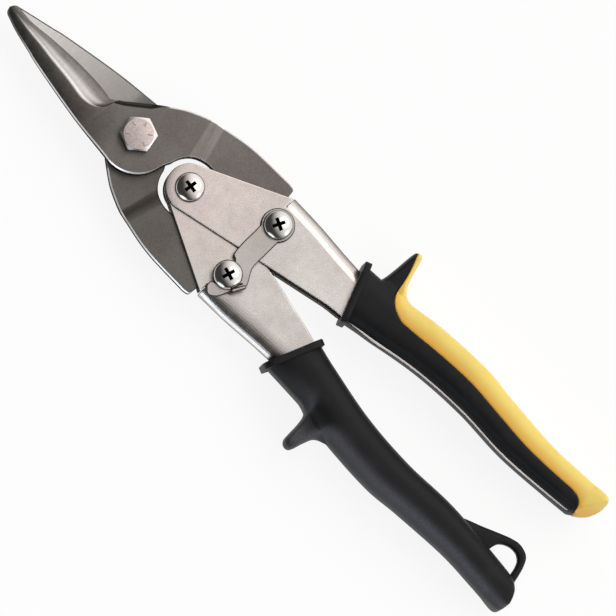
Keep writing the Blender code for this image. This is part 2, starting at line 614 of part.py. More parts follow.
def main():
    clear_scene()
    forged = make_material("forged_steel", (0.12, 0.11, 0.10), 0.42, 0.9)
    nickel = make_material("nickel_plate", (0.62, 0.58, 0.56), 0.3, 1.0)
    bright = make_material("bright_steel", (0.75, 0.74, 0.72), 0.2, 1.0)
    spring_steel = make_material("spring_steel", (0.25, 0.25, 0.26), 0.35, 1.0)
    black = make_material("black_plastic", (0.012, 0.012, 0.015), 0.5, 0.0)
    yellow = make_material("yellow_plastic", (0.85, 0.52, 0.06), 0.4, 0.0)
    upper = make_axis("upper_handle_frame", PIVOT)
    upper.location.z = REST_DEPTH * MM
    lower = make_axis("lower_handle_axis", HINGE, upper)
    front = make_axis("front_blade_axis", UPPER_PIN, upper)
    rear = make_axis("rear_blade_axis", PIVOT, front)
    catch = make_axis("catch_axis", UPPER_PIN, upper)
    make_blade("front_blade", front, 1, UPPER_PIN, RUNNING, forged)
    make_blade("rear_blade", rear, -1, LOWER_PIN, LOOP_PLAY, forged)
    make_pivot(front, bright)
    make_channel("upper_channel", upper, -1, UPPER_OUTER, UPPER_BEND, -STEEL_SHOW, (HINGE, UPPER_PIN), nickel)
    make_channel("lower_channel", lower, 1, LOWER_OUTER, LOWER_BEND, GRIP_WALL, (HINGE, LOWER_PIN), nickel)
    make_upper_grip(upper, black, yellow)
    make_lower_grip(lower, black)
    make_link("hinge", upper, HINGE, UPPER_OUTER + FIT, UPPER_OUTER, bright)
    make_link("upper_pin", upper, UPPER_PIN, CATCH_TOP + FIT, UPPER_OUTER, bright)
    make_link("lower_pin", lower, LOWER_PIN, CATCH_TOP + FIT, LOWER_OUTER, bright)
    for name, sign in (("upper_spacer_front", 1), ("upper_spacer_rear", -1)):
        low, high = sorted((sign * (TANG_HALF + FIT), sign * (UPPER_INNER - FIT)))
        make_ring(name, upper, UPPER_PIN, SLEEVE_RADIUS + FIT, SPACER_RADIUS, low, high, bright)
    make_ring("keeper_collar", lower, LOWER_PIN, SCREW_RADIUS + FIT, SLEEVE_RADIUS,
              LOWER_OUTER + FIT, CATCH_TOP, bright)
    make_catch(catch, nickel)
    make_spring(upper, spring_steel)


main()
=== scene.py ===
import json
import math
import bmesh
import bpy
import numpy as np
from mathutils import Matrix, Vector

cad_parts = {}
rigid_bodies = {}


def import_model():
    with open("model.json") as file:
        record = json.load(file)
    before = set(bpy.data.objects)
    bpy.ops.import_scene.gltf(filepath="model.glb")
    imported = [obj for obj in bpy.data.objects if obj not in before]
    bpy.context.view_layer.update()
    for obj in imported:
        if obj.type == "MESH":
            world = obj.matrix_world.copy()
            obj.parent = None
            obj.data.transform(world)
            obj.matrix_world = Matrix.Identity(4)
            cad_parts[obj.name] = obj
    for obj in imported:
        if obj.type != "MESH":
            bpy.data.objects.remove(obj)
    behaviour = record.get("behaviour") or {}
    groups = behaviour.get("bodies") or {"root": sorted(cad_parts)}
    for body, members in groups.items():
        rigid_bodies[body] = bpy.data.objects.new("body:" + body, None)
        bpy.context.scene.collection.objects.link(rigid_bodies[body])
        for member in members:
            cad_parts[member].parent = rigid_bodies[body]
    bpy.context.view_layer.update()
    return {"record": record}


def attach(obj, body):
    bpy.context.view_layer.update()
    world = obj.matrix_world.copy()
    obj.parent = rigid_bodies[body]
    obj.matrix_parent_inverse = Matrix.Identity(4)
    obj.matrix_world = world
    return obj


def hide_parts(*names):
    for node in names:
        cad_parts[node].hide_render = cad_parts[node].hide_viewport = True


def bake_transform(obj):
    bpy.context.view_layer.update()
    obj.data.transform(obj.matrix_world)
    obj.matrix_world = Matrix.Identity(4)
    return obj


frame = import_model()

mm = 0.001
jointPlace = {joint["name"]: np.array(joint["pos_m"]) / mm for joint in frame["record"]["behaviour"]["joints"]}
midZ = jointPlace["handle_hinge"][2]  # blades' mid-plane above the rest plane; pieces are drawn about it
pivotAt = jointPlace["blade_pivot"][:2]
hingeAt = jointPlace["handle_hinge"][:2]
upperPinAt = jointPlace["front_blade_pin"][:2]
lowerPinAt = upperPinAt * (1, -1)
print("frame loaded")


# Camera: the photo looks almost straight down on the tool, tilted a little towards the black handle
shot = {
    "pivotPixel": (136.67, 137.02),  # where the pivot axis meets the mid-plane in the 616 px photo
    "pixelsPerMm": 3.0,
    "imageSize": 616,
    "alongRight": -0.7036,  # how far a step to the tips moves right and up in the picture
    "alongUp": 0.7106,
    "tilt": 9.0,
    "lens": 500.0,
    "sensor": 36.0,
}


def placeCamera():
    tilt = math.radians(shot["tilt"])
    across = Vector((0, math.cos(tilt), -math.sin(tilt)))  # the tool's width as the picture sees it
    ahead = Vector((1, 0, 0))
    right = ahead * shot["alongRight"] - across * shot["alongUp"]
    up = ahead * shot["alongUp"] + across * shot["alongRight"]
    back = right.cross(up)
    half = shot["imageSize"] / 2
    offRight = (half - shot["pivotPixel"][0]) / shot["pixelsPerMm"]
    offUp = -(half - shot["pivotPixel"][1]) / shot["pixelsPerMm"]
    target = Vector((0, 0, midZ)) + right * offRight + up * offUp
    distance = shot["imageSize"] / shot["pixelsPerMm"] * shot["lens"] / shot["sensor"]
    data = bpy.data.cameras.new("camera")
    data.lens = shot["lens"]
    data.sensor_width = shot["sensor"]
    data.clip_start = 0.01
    data.clip_end = 20.0
    camera = bpy.data.objects.new("camera", data)
    bpy.context.scene.collection.objects.link(camera)
    turn = Matrix((right.normalized(), up.normalized(), back.normalized())).transposed()
    camera.matrix_world = Matrix.Translation((target + back * distance) * mm) @ turn.to_4x4()
    bpy.context.scene.camera = camera


placeCamera()
bpy.context.scene.view_settings.view_transform = "Standard"
print("camera placed")


# Stage: a pale floor that is white to the camera but keeps some shadow, and soft lamps
studio = {
    "floorSize": 6.0,
    "floorDrop": 0.0004,
    "floorShadow": 0.12,  # share of the floor that is lit, the rest is plain white
    "skyTop": 0.92, "zenith": (0.968, 0.998),  # strength overhead, and the heights where it comes in
    "skyHorizon": 0.95, "horizon": (0.20, 0.08),
    "skyWarm": (1.0, 0.975, 0.955),
    "brightSide": (-0.45, -0.85, 0.30),  # the open side of the light tent
    "sideDark": 0.07, "sideBright": 1.6, "sideRange": (-0.08, 0.72),
    "key": {"place": (-0.15, -0.60, 0.90), "size": 0.8, "watts": 2.2, "colour": (1.0, 0.98, 0.95)},
    "fill": {"place": (-0.15, 0.95, 0.28), "size": 0.7, "watts": 2.8, "colour": (0.78, 0.88, 1.0)},
    "rim": {"place": (-0.95, -0.15, 0.55), "size": 0.5, "watts": 1.0, "colour": (1.0, 1.0, 1.0)},
}


def newMaterial(name):
    material = bpy.data.materials.new(name)
    material.use_nodes = True
    material.node_tree.nodes.clear()
    return material, material.node_tree


def link(tree, source, target):
    tree.links.new(source, target)


def mathNode(tree, operation, first, second):
    node = tree.nodes.new("ShaderNodeMath")
    node.operation = operation
    for socket, value in zip(node.inputs, (first, second)):
        if isinstance(value, (int, float)):
            socket.default_value = value
        else:
            link(tree, value, socket)
    return node.outputs[0]


def makeFloor():
    half = studio["floorSize"] / 2
    low = -studio["floorDrop"]
    mesh = bpy.data.meshes.new("floor")
    corners = [(-half, -half, low), (half, -half, low), (half, half, low), (-half, half, low)]
    mesh.from_pydata(corners, [], [(0, 1, 2, 3)])
    floor = bpy.data.objects.new("floor", mesh)
    bpy.context.scene.collection.objects.link(floor)
    material, tree = newMaterial("floor_paper")
    rays = tree.nodes.new("ShaderNodeLightPath")
    seen = mathNode(tree, "MAXIMUM", rays.outputs["Is Camera Ray"], rays.outputs["Is Glossy Ray"])
    seen = mathNode(tree, "MAXIMUM", seen, rays.outputs["Is Transmission Ray"])
    share = mathNode(tree, "MULTIPLY", seen, 1.0 - studio["floorShadow"])
    paper = tree.nodes.new("ShaderNodeBsdfDiffuse")
    paper.inputs["Color"].default_value = (0.9, 0.9, 0.9, 1)
    white = tree.nodes.new("ShaderNodeEmission")
    white.inputs["Color"].default_value = (1, 1, 1, 1)
    mix = tree.nodes.new("ShaderNodeMixShader")
    out = tree.nodes.new("ShaderNodeOutputMaterial")
    link(tree, share, mix.inputs[0])
    link(tree, paper.outputs[0], mix.inputs[1])
    link(tree, white.outputs[0], mix.inputs[2])
    link(tree, mix.outputs[0], out.inputs["Surface"])
    mesh.materials.append(material)


def rangeNode(tree, value, low, high, outLow, outHigh):
    node = tree.nodes.new("ShaderNodeMapRange")
    node.interpolation_type = "SMOOTHSTEP"
    for name, number in (("From Min", low), ("From Max", high), ("To Min", outLow), ("To Max", outHigh)):
        node.inputs[name].default_value = number
    link(tree, value, node.inputs["Value"])
    return node.outputs[0]


def makeSky():
    # strength by height: the horizon is bright all round, above it the tent is bright on its open side
    # and dark on the closed one, and overhead it is bright again
    world = bpy.data.worlds.new("studio_sky")
    bpy.context.scene.world = world
    world.use_nodes = True
    tree = world.node_tree
    tree.nodes.clear()
    place = tree.nodes.new("ShaderNodeTexCoord")
    parts = tree.nodes.new("ShaderNodeSeparateXYZ")
    link(tree, place.outputs["Generated"], parts.inputs[0])
    facing = tree.nodes.new("ShaderNodeVectorMath")
    facing.operation = "DOT_PRODUCT"
    link(tree, place.outputs["Generated"], facing.inputs[0])
    facing.inputs[1].default_value = studio["brightSide"]
    strength = rangeNode(tree, facing.outputs["Value"], *studio["sideRange"], studio["sideDark"], studio["sideBright"])
    low = rangeNode(tree, parts.outputs["Z"], *studio["horizon"], 0.0, studio["skyHorizon"])
    strength = mathNode(tree, "MAXIMUM", strength, low)
    share = rangeNode(tree, parts.outputs["Z"], *studio["zenith"], 0.0, 1.0)
    strength = mathNode(tree, "ADD", mathNode(tree, "MULTIPLY", share, studio["skyTop"]),
                        mathNode(tree, "MULTIPLY", mathNode(tree, "SUBTRACT", 1.0, share), strength))
    glow = tree.nodes.new("ShaderNodeBackground")
    glow.inputs["Color"].default_value = (*studio["skyWarm"], 1)
    link(tree, strength, glow.inputs["Strength"])
    out = tree.nodes.new("ShaderNodeOutputWorld")
    link(tree, glow.outputs[0], out.inputs["Surface"])


def makeLamp(name):
    spec = studio[name]
    data = bpy.data.lights.new(name, "AREA")
    data.shape = "DISK"
    data.size = spec["size"]
    data.energy = spec["watts"]
    data.color = spec["colour"]
    lamp = bpy.data.objects.new(name, data)
    bpy.context.scene.collection.objects.link(lamp)
    aim = Vector((-0.08, 0, 0))
    place = Vector(spec["place"]) + aim
    lamp.location = place
    lamp.rotation_euler = (aim - place).to_track_quat("-Z", "Y").to_euler()


makeFloor()
makeSky()
for lampName in ("key", "fill", "rim"):
    makeLamp(lampName)
print("stage lit")


# Finishes: every one has grain, wear and a fine bump, placed by the object's own coordinates
def noiseNode(tree, size, detail=4.0, stretch=(1, 1, 1)):
    # noise whose features are about as large as size in millimetres, longer where stretch is below one
    place = tree.nodes.new("ShaderNodeTexCoord")
    scaled = tree.nodes.new("ShaderNodeMapping")
    scaled.inputs["Scale"].default_value = stretch
    noise = tree.nodes.new("ShaderNodeTexNoise")
    noise.inputs["Scale"].default_value = 1 / (size * mm)
    noise.inputs["Detail"].default_value = detail
    link(tree, place.outputs["Object"], scaled.inputs["Vector"])
    link(tree, scaled.outputs["Vector"], noise.inputs["Vector"])
    return noise.outputs["Fac"]


def markNode(tree, name):
    mark = tree.nodes.new("ShaderNodeAttribute")
    mark.attribute_name = name
    return mark.outputs["Fac"]


def mixNode(tree, share, first, second, blend="MIX"):
    node = tree.nodes.new("ShaderNodeMix")
    node.data_type = "RGBA"
    node.blend_type = blend
    for socket, value in zip((node.inputs["Factor"], node.inputs["A"], node.inputs["B"]), (share, first, second)):
        if isinstance(value, (int, float)):
            socket.default_value = value
        elif isinstance(value, tuple):
            socket.default_value = (*value, 1)
        else:
            link(tree, value, socket)
    return node.outputs["Result"]


def greyNode(tree, value):
    # a number as a grey colour
    node = tree.nodes.new("ShaderNodeCombineColor")
    for socket in node.inputs[:3]:
        link(tree, value, socket)
    return node.outputs[0]


grazingShadeTint = 0.15  # painted shade: the steels reflect less where they are seen edge on, standing in for dark surroundings


def finishMaterial(name, tree, colour, roughness, height, bump, metallic, specular=0.5):
    shader = tree.nodes.new("ShaderNodeBsdfPrincipled")
    shader.inputs["Metallic"].default_value = metallic
    shader.inputs["Specular IOR Level"].default_value = specular
    if metallic:
        shader.inputs["Specular Tint"].default_value = (grazingShadeTint, grazingShadeTint, grazingShadeTint, 1)
    link(tree, colour, shader.inputs["Base Color"])
    link(tree, roughness, shader.inputs["Roughness"])
    relief = tree.nodes.new("ShaderNodeBump")
    relief.inputs["Strength"].default_value = 1.0
    relief.inputs["Distance"].default_value = bump * mm
    link(tree, height, relief.inputs["Height"])
    link(tree, relief.outputs["Normal"], shader.inputs["Normal"])
    out = tree.nodes.new("ShaderNodeOutputMaterial")
    link(tree, shader.outputs[0], out.inputs["Surface"])


steelLook = {
    # colour, how far the grain and the patches change it, roughness and its spread, relief in mm
    "forged_steel": {"colour": (0.135, 0.126, 0.118), "patch": 0.10, "grain": 0.13, "grainSize": 0.3,
                     "rough": 0.40, "roughSpread": 0.08, "relief": 0.003, "stretch": (0.3, 1, 1)},
    "nickel_plate": {"colour": (0.53, 0.488, 0.468), "patch": 0.06, "grain": 0.10, "grainSize": 0.22,
                     "rough": 0.24, "roughSpread": 0.08, "relief": 0.004, "stretch": (0.35, 1, 1)},
    "bright_steel": {"colour": (0.53, 0.52, 0.505), "patch": 0.06, "grain": 0.06, "grainSize": 0.25,
                     "rough": 0.17, "roughSpread": 0.08, "relief": 0.002, "stretch": (1, 1, 1)},
    "catch_steel": {"colour": (0.395, 0.365, 0.348), "patch": 0.06, "grain": 0.10, "grainSize": 0.22,
                    "rough": 0.32, "roughSpread": 0.08, "relief": 0.004, "stretch": (0.35, 1, 1)},
    "bolt_steel": {"colour": (0.48, 0.42, 0.405), "patch": 0.10, "grain": 0.14, "grainSize": 0.5,
                   "rough": 0.34, "roughSpread": 0.10, "relief": 0.006, "stretch": (1, 1, 1)},
    # dark sheared edges, partly painted shade of the gaps beside them
    "sheared_edge_shade": {"colour": (0.10, 0.09, 0.085), "patch": 0.15, "grain": 0.25, "grainSize": 0.25,
                     "rough": 0.52, "roughSpread": 0.10, "relief": 0.008, "stretch": (1, 1, 0.2)},
    "spring_steel": {"colour": (0.22, 0.215, 0.21), "patch": 0.12, "grain": 0.22, "grainSize": 0.3,
                     "rough": 0.34, "roughSpread": 0.10, "relief": 0.004, "stretch": (1, 1, 0.3)},
}
groundLook = {"colour": (0.86, 0.83, 0.825), "streak": 0.08, "streakSize": 0.22, "rough": 0.30,
              "scaleShade": (0.018, 0.018, 0.017)}
chamferGlintTone, recessShadeTone = (0.62, 0.58, 0.57), (0.004, 0.004, 0.004)  # painted highlight on the bolt's chamfer, painted shade in a screw's recess
warmTint, coolTint = (1.03, 0.985, 0.975), (0.97, 1.005, 1.0)  # slight change of hue over a plated sheet


def makeSteel(name):
    # colour times patches, grain and a slight change of hue; the blades' mark brings in bright streaked ground steel,
    # with painted highlights on crests and chamfers, or below zero forging scale with painted shade, and the screws'
    # recess mark brings in painted shade
    look = steelLook[name]
    material, tree = newMaterial(name)
    patches = noiseNode(tree, 14.0, 3.0)
    grain = noiseNode(tree, look["grainSize"], 5.0, look["stretch"])
    shade = mathNode(tree, "MULTIPLY", rangeNode(tree, patches, 0.3, 0.7, 1 - look["patch"], 1 + look["patch"]),
                     rangeNode(tree, grain, 0.3, 0.7, 1 - look["grain"], 1 + look["grain"]))
    tint = mixNode(tree, rangeNode(tree, noiseNode(tree, 30.0, 2.0), 0.35, 0.65, 0, 1), warmTint, coolTint)
    colour = mixNode(tree, 1.0, mixNode(tree, 1.0, look["colour"], greyNode(tree, shade), "MULTIPLY"), tint, "MULTIPLY")
    rough = rangeNode(tree, noiseNode(tree, 2.5, 6.0), 0.3, 0.7, look["rough"] - look["roughSpread"] / 2,
                      look["rough"] + look["roughSpread"] / 2)
    if name == "forged_steel":
        mark = markNode(tree, "groundAndPaintedLight")
        streaks = noiseNode(tree, groundLook["streakSize"], 3.0, (1, 0.06, 0.06))
        bright = rangeNode(tree, streaks, 0.3, 0.7, 1 - groundLook["streak"], 1 + groundLook["streak"])
        # below zero the mark mixes in a dark colour, forging scale with painted shade; above zero bright ground steel,
        # with painted highlights on crests and chamfers
        colour = mixNode(tree, rangeNode(tree, mark, -1.0, 0.0, 1, 0), colour, groundLook["scaleShade"])
        mark = rangeNode(tree, mark, 0.0, 1.0, 0, 1)
        streaked = mixNode(tree, 1.0, groundLook["colour"], greyNode(tree, bright), "MULTIPLY")
        colour = mixNode(tree, mark, colour, streaked)
        rough = mathNode(tree, "ADD", rough, mathNode(tree, "MULTIPLY", mark, groundLook["rough"] - look["rough"]))
    if name == "bolt_steel":
        # painted highlight: the bolt's chamfer is made brighter where its mark is set
        colour = mixNode(tree, markNode(tree, "worn"), colour, chamferGlintTone)
    if name == "bright_steel":
        # painted shade: the cross recess is darkened in colour
        colour = mixNode(tree, markNode(tree, "recess"), colour, recessShadeTone)
        rough = mathNode(tree, "ADD", rough, mathNode(tree, "MULTIPLY", markNode(tree, "recess"), 0.5))
    finishMaterial(name, tree, colour, rough, grain, look["relief"], 1.0)
    return material


plasticLook = {
    "black_plastic": {"colour": (0.007, 0.007, 0.008), "worn": (0.013, 0.0135, 0.015), "rough": 0.50, "relief": 0.040,
                      "textureSize": 0.45, "specular": 0.15},
    "yellow_plastic": {"colour": (0.71, 0.545, 0.125), "worn": (0.67, 0.49, 0.105), "rough": 0.42, "relief": 0.014,
                       "textureSize": 0.35, "specular": 0.30},
}
paintedSheenTone = (0.085, 0.085, 0.097)  # painted sheen: the black moulding is paler along the lower grip's outer side, where light would catch it
borderShadeTone = (0.70, 0.37, 0.045)  # painted shade: the yellow moulding is deeper in hue near its groove along the black one
partingHalf = 0.12  # half width in mm of the moulds' parting line along the mid-plane


def makePlastic(name):
    # colour mixed with a worn tone in soft patches, and on the black moulding a painted sheen where its mark is set;
    # relief is the mould's fine texture and the parting line, a narrow dip where the height is near the mid-plane
    look = plasticLook[name]
    material, tree = newMaterial(name)
    texture = noiseNode(tree, look["textureSize"], 4.0)
    worn = rangeNode(tree, noiseNode(tree, 9.0, 5.0), 0.45, 0.75, 0, 0.7)
    colour = mixNode(tree, worn, look["colour"], look["worn"])
    if name == "black_plastic":
        # painted sheen: the paler tone goes where the mark along the lower grip's outer side is set
        sheenShare = mathNode(tree, "MULTIPLY", markNode(tree, "paintedSheen"), rangeNode(tree, texture, 0.3, 0.7, 0.6, 1.0))
        colour = mixNode(tree, sheenShare, colour, paintedSheenTone)
    if name == "yellow_plastic":
        # painted shade: the yellow darkens towards its border with the black moulding
        colour = mixNode(tree, rangeNode(tree, markNode(tree, "fromBorder"), 0.0, 0.62, 1, 0), colour, borderShadeTone)
    rough = mathNode(tree, "ADD", rangeNode(tree, texture, 0.3, 0.7, look["rough"] - 0.05, look["rough"] + 0.05),
                     mathNode(tree, "MULTIPLY", worn, 0.08))
    place = tree.nodes.new("ShaderNodeTexCoord")
    parts = tree.nodes.new("ShaderNodeSeparateXYZ")
    link(tree, place.outputs["Object"], parts.inputs[0])
    away = mathNode(tree, "ABSOLUTE", mathNode(tree, "SUBTRACT", parts.outputs["Z"], midZ * mm), 0.0)
    seam = rangeNode(tree, away, 0.0, 2 * partingHalf * mm, -4.0, 0.0)
    height = mathNode(tree, "ADD", texture, seam)
    finishMaterial(name, tree, colour, rough, height, look["relief"], 0.0, look["specular"])
    return material


finishes = {name: makeSteel(name) for name in steelLook}
finishes.update({name: makePlastic(name) for name in plasticLook})
for part in frame["record"]["subparts"]:
    node = bpy.data.objects[part["node"]]
    node.data.materials.clear()
    node.data.materials.append(finishes[part["material_slot"]])
print("finishes mixed")


# Shapes shared by the pieces
def curveThrough(points, count, first=0, last=None):
    # Catmull-Rom: each span is a cubic whose slopes at its ends follow the neighbouring points; first and
    # last pick the stretch between two of the points
    keys = np.asarray(points, float)
    padded = np.vstack([2 * keys[0] - keys[1], keys, 2 * keys[-1] - keys[-2]])
    place = np.linspace(first, len(keys) - 1 if last is None else last, count)
    span = np.minimum(place.astype(int), len(keys) - 2)
    t = (place - span)[:, None]
    a, b, c, d = (padded[span + i] for i in range(4))
    return 0.5 * (2 * b + (c - a) * t + (2 * a - 5 * b + 4 * c - d) * t**2 + (3 * b - a - 3 * c + d) * t**3)


def circlePart(centre, radius, start, end, count):
    # points on a circle between two angles in degrees
    turn = np.radians(np.linspace(start, end, count))
    return np.column_stack([centre[0] + radius * np.cos(turn), centre[1] + radius * np.sin(turn)])


def heightAlong(keys, x):
    # height of a smooth edge at places along the handle, which runs to lower x
    line = curveThrough(keys, 24 * len(keys))
    return np.interp(-np.asarray(x, float), -line[:, 0], line[:, 1])


def evenly(points, count):
    # the same line with its points spread evenly by length
    points = np.asarray(points, float)
    length = np.concatenate([[0], np.cumsum(np.linalg.norm(np.diff(points, axis=0), axis=1))])
    place = np.linspace(0, length[-1], count)
    return np.column_stack([np.interp(place, length, points[:, i]) for i in range(points.shape[1])])


def ringFaces(rings, size):
    # quads between neighbouring closed rings, row by row
    row, i = np.meshgrid(np.arange(rings - 1) * size, np.arange(size), indexing="ij")
    j = (i + 1) % size
    return np.stack([row + i, row + j, row + size + j, row + size + i], axis=-1).reshape(-1, 4).tolist()


def addPiece(name, points, faces, finish, sharpAngle=30.0, merge=True, marks=None):
    # points are millimetres about the mid-plane; normals of each closed shell are turned outwards; marks are
    # numbers per point that the finishes read
    mesh = bpy.data.meshes.new(name)
    mesh.from_pydata(((np.asarray(points, float) + (0, 0, midZ)) * mm).tolist(), [], faces)
    for mark, values in (marks or {}).items():
        mesh.attributes.new(mark, "FLOAT", "POINT").data.foreach_set("value", np.asarray(values, float).ravel())
    shell = bmesh.new()
    shell.from_mesh(mesh)
    if merge:  # closes poles and seams
        bmesh.ops.remove_doubles(shell, verts=shell.verts, dist=2e-6)
    bmesh.ops.recalc_face_normals(shell, faces=shell.faces)
    shell.to_mesh(mesh)
    shell.free()
    if sharpAngle:
        mesh.shade_smooth()
        mesh.set_sharp_from_angle(angle=math.radians(sharpAngle))
    mesh.materials.append(finishes[finish])
    piece = bpy.data.objects.new(name, mesh)
    bpy.context.scene.collection.objects.link(piece)
    return piece


def addLoft(name, rings, finish, sharpAngle=30.0, merge=True, marks=None):
    # closed rings joined in order, the first and the last one filled
    rings = np.asarray(rings, float)
    count, size, _ = rings.shape
    faces = ringFaces(count, size)
    faces += [list(range(size))[::-1], [(count - 1) * size + i for i in range(size)]]
    return addPiece(name, rings.reshape(-1, 3), faces, finish, sharpAngle, merge, marks)


def bake(piece, sharpAngle=30.0):
    # the modifiers' result becomes the piece's own mesh
    graph = bpy.context.evaluated_depsgraph_get()
    made = bpy.data.meshes.new_from_object(piece.evaluated_get(graph))
    piece.modifiers.clear()
    piece.data = made
    if sharpAngle:
        made.shade_smooth()
        made.set_sharp_from_angle(angle=math.radians(sharpAngle))


def cutOut(piece, cutters, sharpAngle=30.0):
    # takes the cutters' shapes out of the piece and deletes them
    for cutter in cutters:
        step = piece.modifiers.new("cut", "BOOLEAN")
        step.object = cutter
        step.operation = "DIFFERENCE"
        step.solver = "EXACT"
    bake(piece, sharpAngle)
    for cutter in cutters:
        bpy.data.objects.remove(cutter, do_unlink=True)


def roundCutter(centre, radius, low, high):
    circle = circlePart(centre, radius, 0, 352.5, 48)
    rings = [np.column_stack([circle, np.full(len(circle), z)]) for z in (low, high)]
    return addLoft("cutter", rings, "bright_steel", 0)


def thicken(piece, thick, evenOffset):
    # gives a sheet its thickness about its middle, with a dark sheared edge all round, partly painted shade of the gaps
    # beside it
    step = piece.modifiers.new("sheet", "SOLIDIFY")
    step.thickness = thick * mm
    step.offset = 0.0
    step.use_even_offset = evenOffset
    step.material_offset_rim = 1
    piece.data.materials.append(finishes["sheared_edge_shade"])
    bake(piece, 0)


def rollEdges(piece, width, segments, finishIndex=-1):
    # rounds a sheet's sharp edges
    step = piece.modifiers.new("rolled", "BEVEL")
    step.width = width * mm
    step.segments = segments
    step.material = finishIndex
    step.limit_method = "ANGLE"
    step.angle_limit = math.radians(50)
    step.use_clamp_overlap = False


def replaceNode(piece, node, body):
    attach(piece, body)
    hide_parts(node)


# Blades: a forged jaw with a hollow grind, a flat disc round the pivot, and a joggled tang
blade = {
    "tipX": 60.5, "tipRadius": 2.45, "tipTurn": 72,
    "top": 4.35, "gap": 0.15,  # faces of the flat part, from the mid-plane
    "tangHalf": 1.75,
    "discRadius": 13.0, "notchRadius": 10.2, "tongueRadius": 7.5,
    "jawBack": [(53.0, 4.1), (45.8, 5.8), (39.5, 7.3), (19.5, 10.8)],
    "cutEdge": [(54.6, -2.2), (51.0, -2.1), (42.0, -3.0), (31.0, -3.6), (21.5, -3.4), (15.2, -2.6)],
    # rim from the shoulder behind the cutting edge, round the disc and past the joggle to the tang's end
    "rim": [(15.2, -2.6), (11.8, -4.7), (9.0, -7.0), (3.6, -11.4), (-3.9, -16.8), (-7.2, -18.7),
            (-10.5, -20.2), (-13.3, -21.3), (-18.8, -22.95), (-30.5, -25.0), (-47.2, -25.5)],
    "tangCorner": [(-49.2, -25.2), (-49.6, -24.6), (-49.6, -21.2)],
    # crest between the flank and the hollow grind, which runs out to the shoulder
    "crest": [(62.0, -0.7), (56.0, 0.05), (49.3, 0.85), (43.5, 1.4), (38.5, 2.1), (31.0, 2.85), (27.2, 3.4),
              (24.0, 3.95), (21.8, 4.1), (19.6, 3.85), (16.9, 3.1), (14.9, 1.6), (13.9, 0.0), (13.3, -2.2),
              (12.6, -4.4)],
    "crestWidth": 0.38,
    "grindTone": 0.47, "rimTone": 0.66, "faceTone": 0.56, "scaleShadeTone": -0.75,  # each part's mark of ground steel and painted light; the scale tone is forging scale with painted shade
    "tipCrest": 2.7, "flankDrop": 1.15, "hollow": 0.9, "edgeThick": 0.45,
    "chamfer": 0.42, "shoulder": 2.2, "wallStep": 0.03,
    "pivotHole": 3.375, "frontPinHole": 3.8, "rearPinHole": 4.1,
}


def bladeEdges(tipY):
    # matched points along the back and the cutting side, from the tip to the tongue, with how much of
    # the jaw and of the tang's step each pair has
    tip = np.array([blade["tipX"] - blade["tipRadius"], tipY])
    radius = blade["tipRadius"]
    leave = circlePart(tip, radius, blade["tipTurn"], blade["tipTurn"], 1)[0]
    jawLine = evenly(curveThrough([leave, *blade["jawBack"], (2.7, blade["discRadius"] - 0.3)], 300), 97)
    cutLine = evenly(curveThrough([tip - (0, radius), *blade["cutEdge"]], 300), 67)
    notch = blade["notchRadius"]
    discEnd = circlePart(pivotAt, blade["discRadius"], 165, 165, 1)[0]
    notchStart = circlePart(hingeAt, notch, -9, -9, 1)[0]
    notchEnd = circlePart(hingeAt, notch, -125, -125, 1)[0]
    tongue = np.array(upperPinAt)
    tongueTop = tongue + (0, blade["tongueRadius"])
    tongueLine = curveThrough([notchEnd, tongueTop], 61)
    cornerEnd = circlePart(tongue, blade["tongueRadius"], -62, -62, 1)
    pairs = [  # back points, cutting side points
        (circlePart(tip, radius, 8, blade["tipTurn"], 14), circlePart(tip, radius, -8, -90, 14)),
        (jawLine[1:67], cutLine[1:]),
        (jawLine[67:], curveThrough(blade["rim"], 31, 0, 2)[1:]),
        (circlePart(pivotAt, blade["discRadius"], 86, 165, 24), curveThrough(blade["rim"], 25, 2, 4)[1:]),
        (curveThrough([discEnd, (discEnd + notchStart) / 2 + (0.3, 0.1), notchStart], 13)[1:],
         curveThrough(blade["rim"], 13, 4, 5)[1:]),
        (circlePart(hingeAt, notch, -11, -40, 12), curveThrough(blade["rim"], 13, 5, 7)[1:]),
        (circlePart(hingeAt, notch, -42, -78, 16), curveThrough(blade["rim"], 17, 7, 8)[1:]),
        (np.vstack([circlePart(hingeAt, notch, -80, -125, 14), tongueLine[2:50:3]]),
         curveThrough(blade["rim"], 31, 8, 10)[1:]),
        (tongueLine[50:61], evenly(np.vstack([blade["rim"][-1], blade["tangCorner"], cornerEnd]), 12)[1:]),
        (circlePart(tongue, blade["tongueRadius"], 97, 172, 12),
         circlePart(tongue, blade["tongueRadius"], -70, -172, 12)),
    ]
    back = np.vstack([pair[0] for pair in pairs])
    edge = np.vstack([pair[1] for pair in pairs])
    counts = [len(pair[0]) for pair in pairs]
    jaw = np.concatenate([np.full(n, float(i < 2)) for i, n in enumerate(counts)])
    first = sum(counts[:2])
    jaw[first:first + counts[2]] = np.cos(np.linspace(0, math.pi, counts[2])) / 2 + 0.5
    step = np.concatenate([np.full(n, float(i > 6)) for i, n in enumerate(counts)])
    first = sum(counts[:6])
    share = np.clip((np.linspace(0, 1, counts[6]) - 0.06) / 0.88, 0, 1)
    step[first:first + counts[6]] = share + np.sin(2 * math.pi * share) * -0.06
    return back, edge, jaw, step


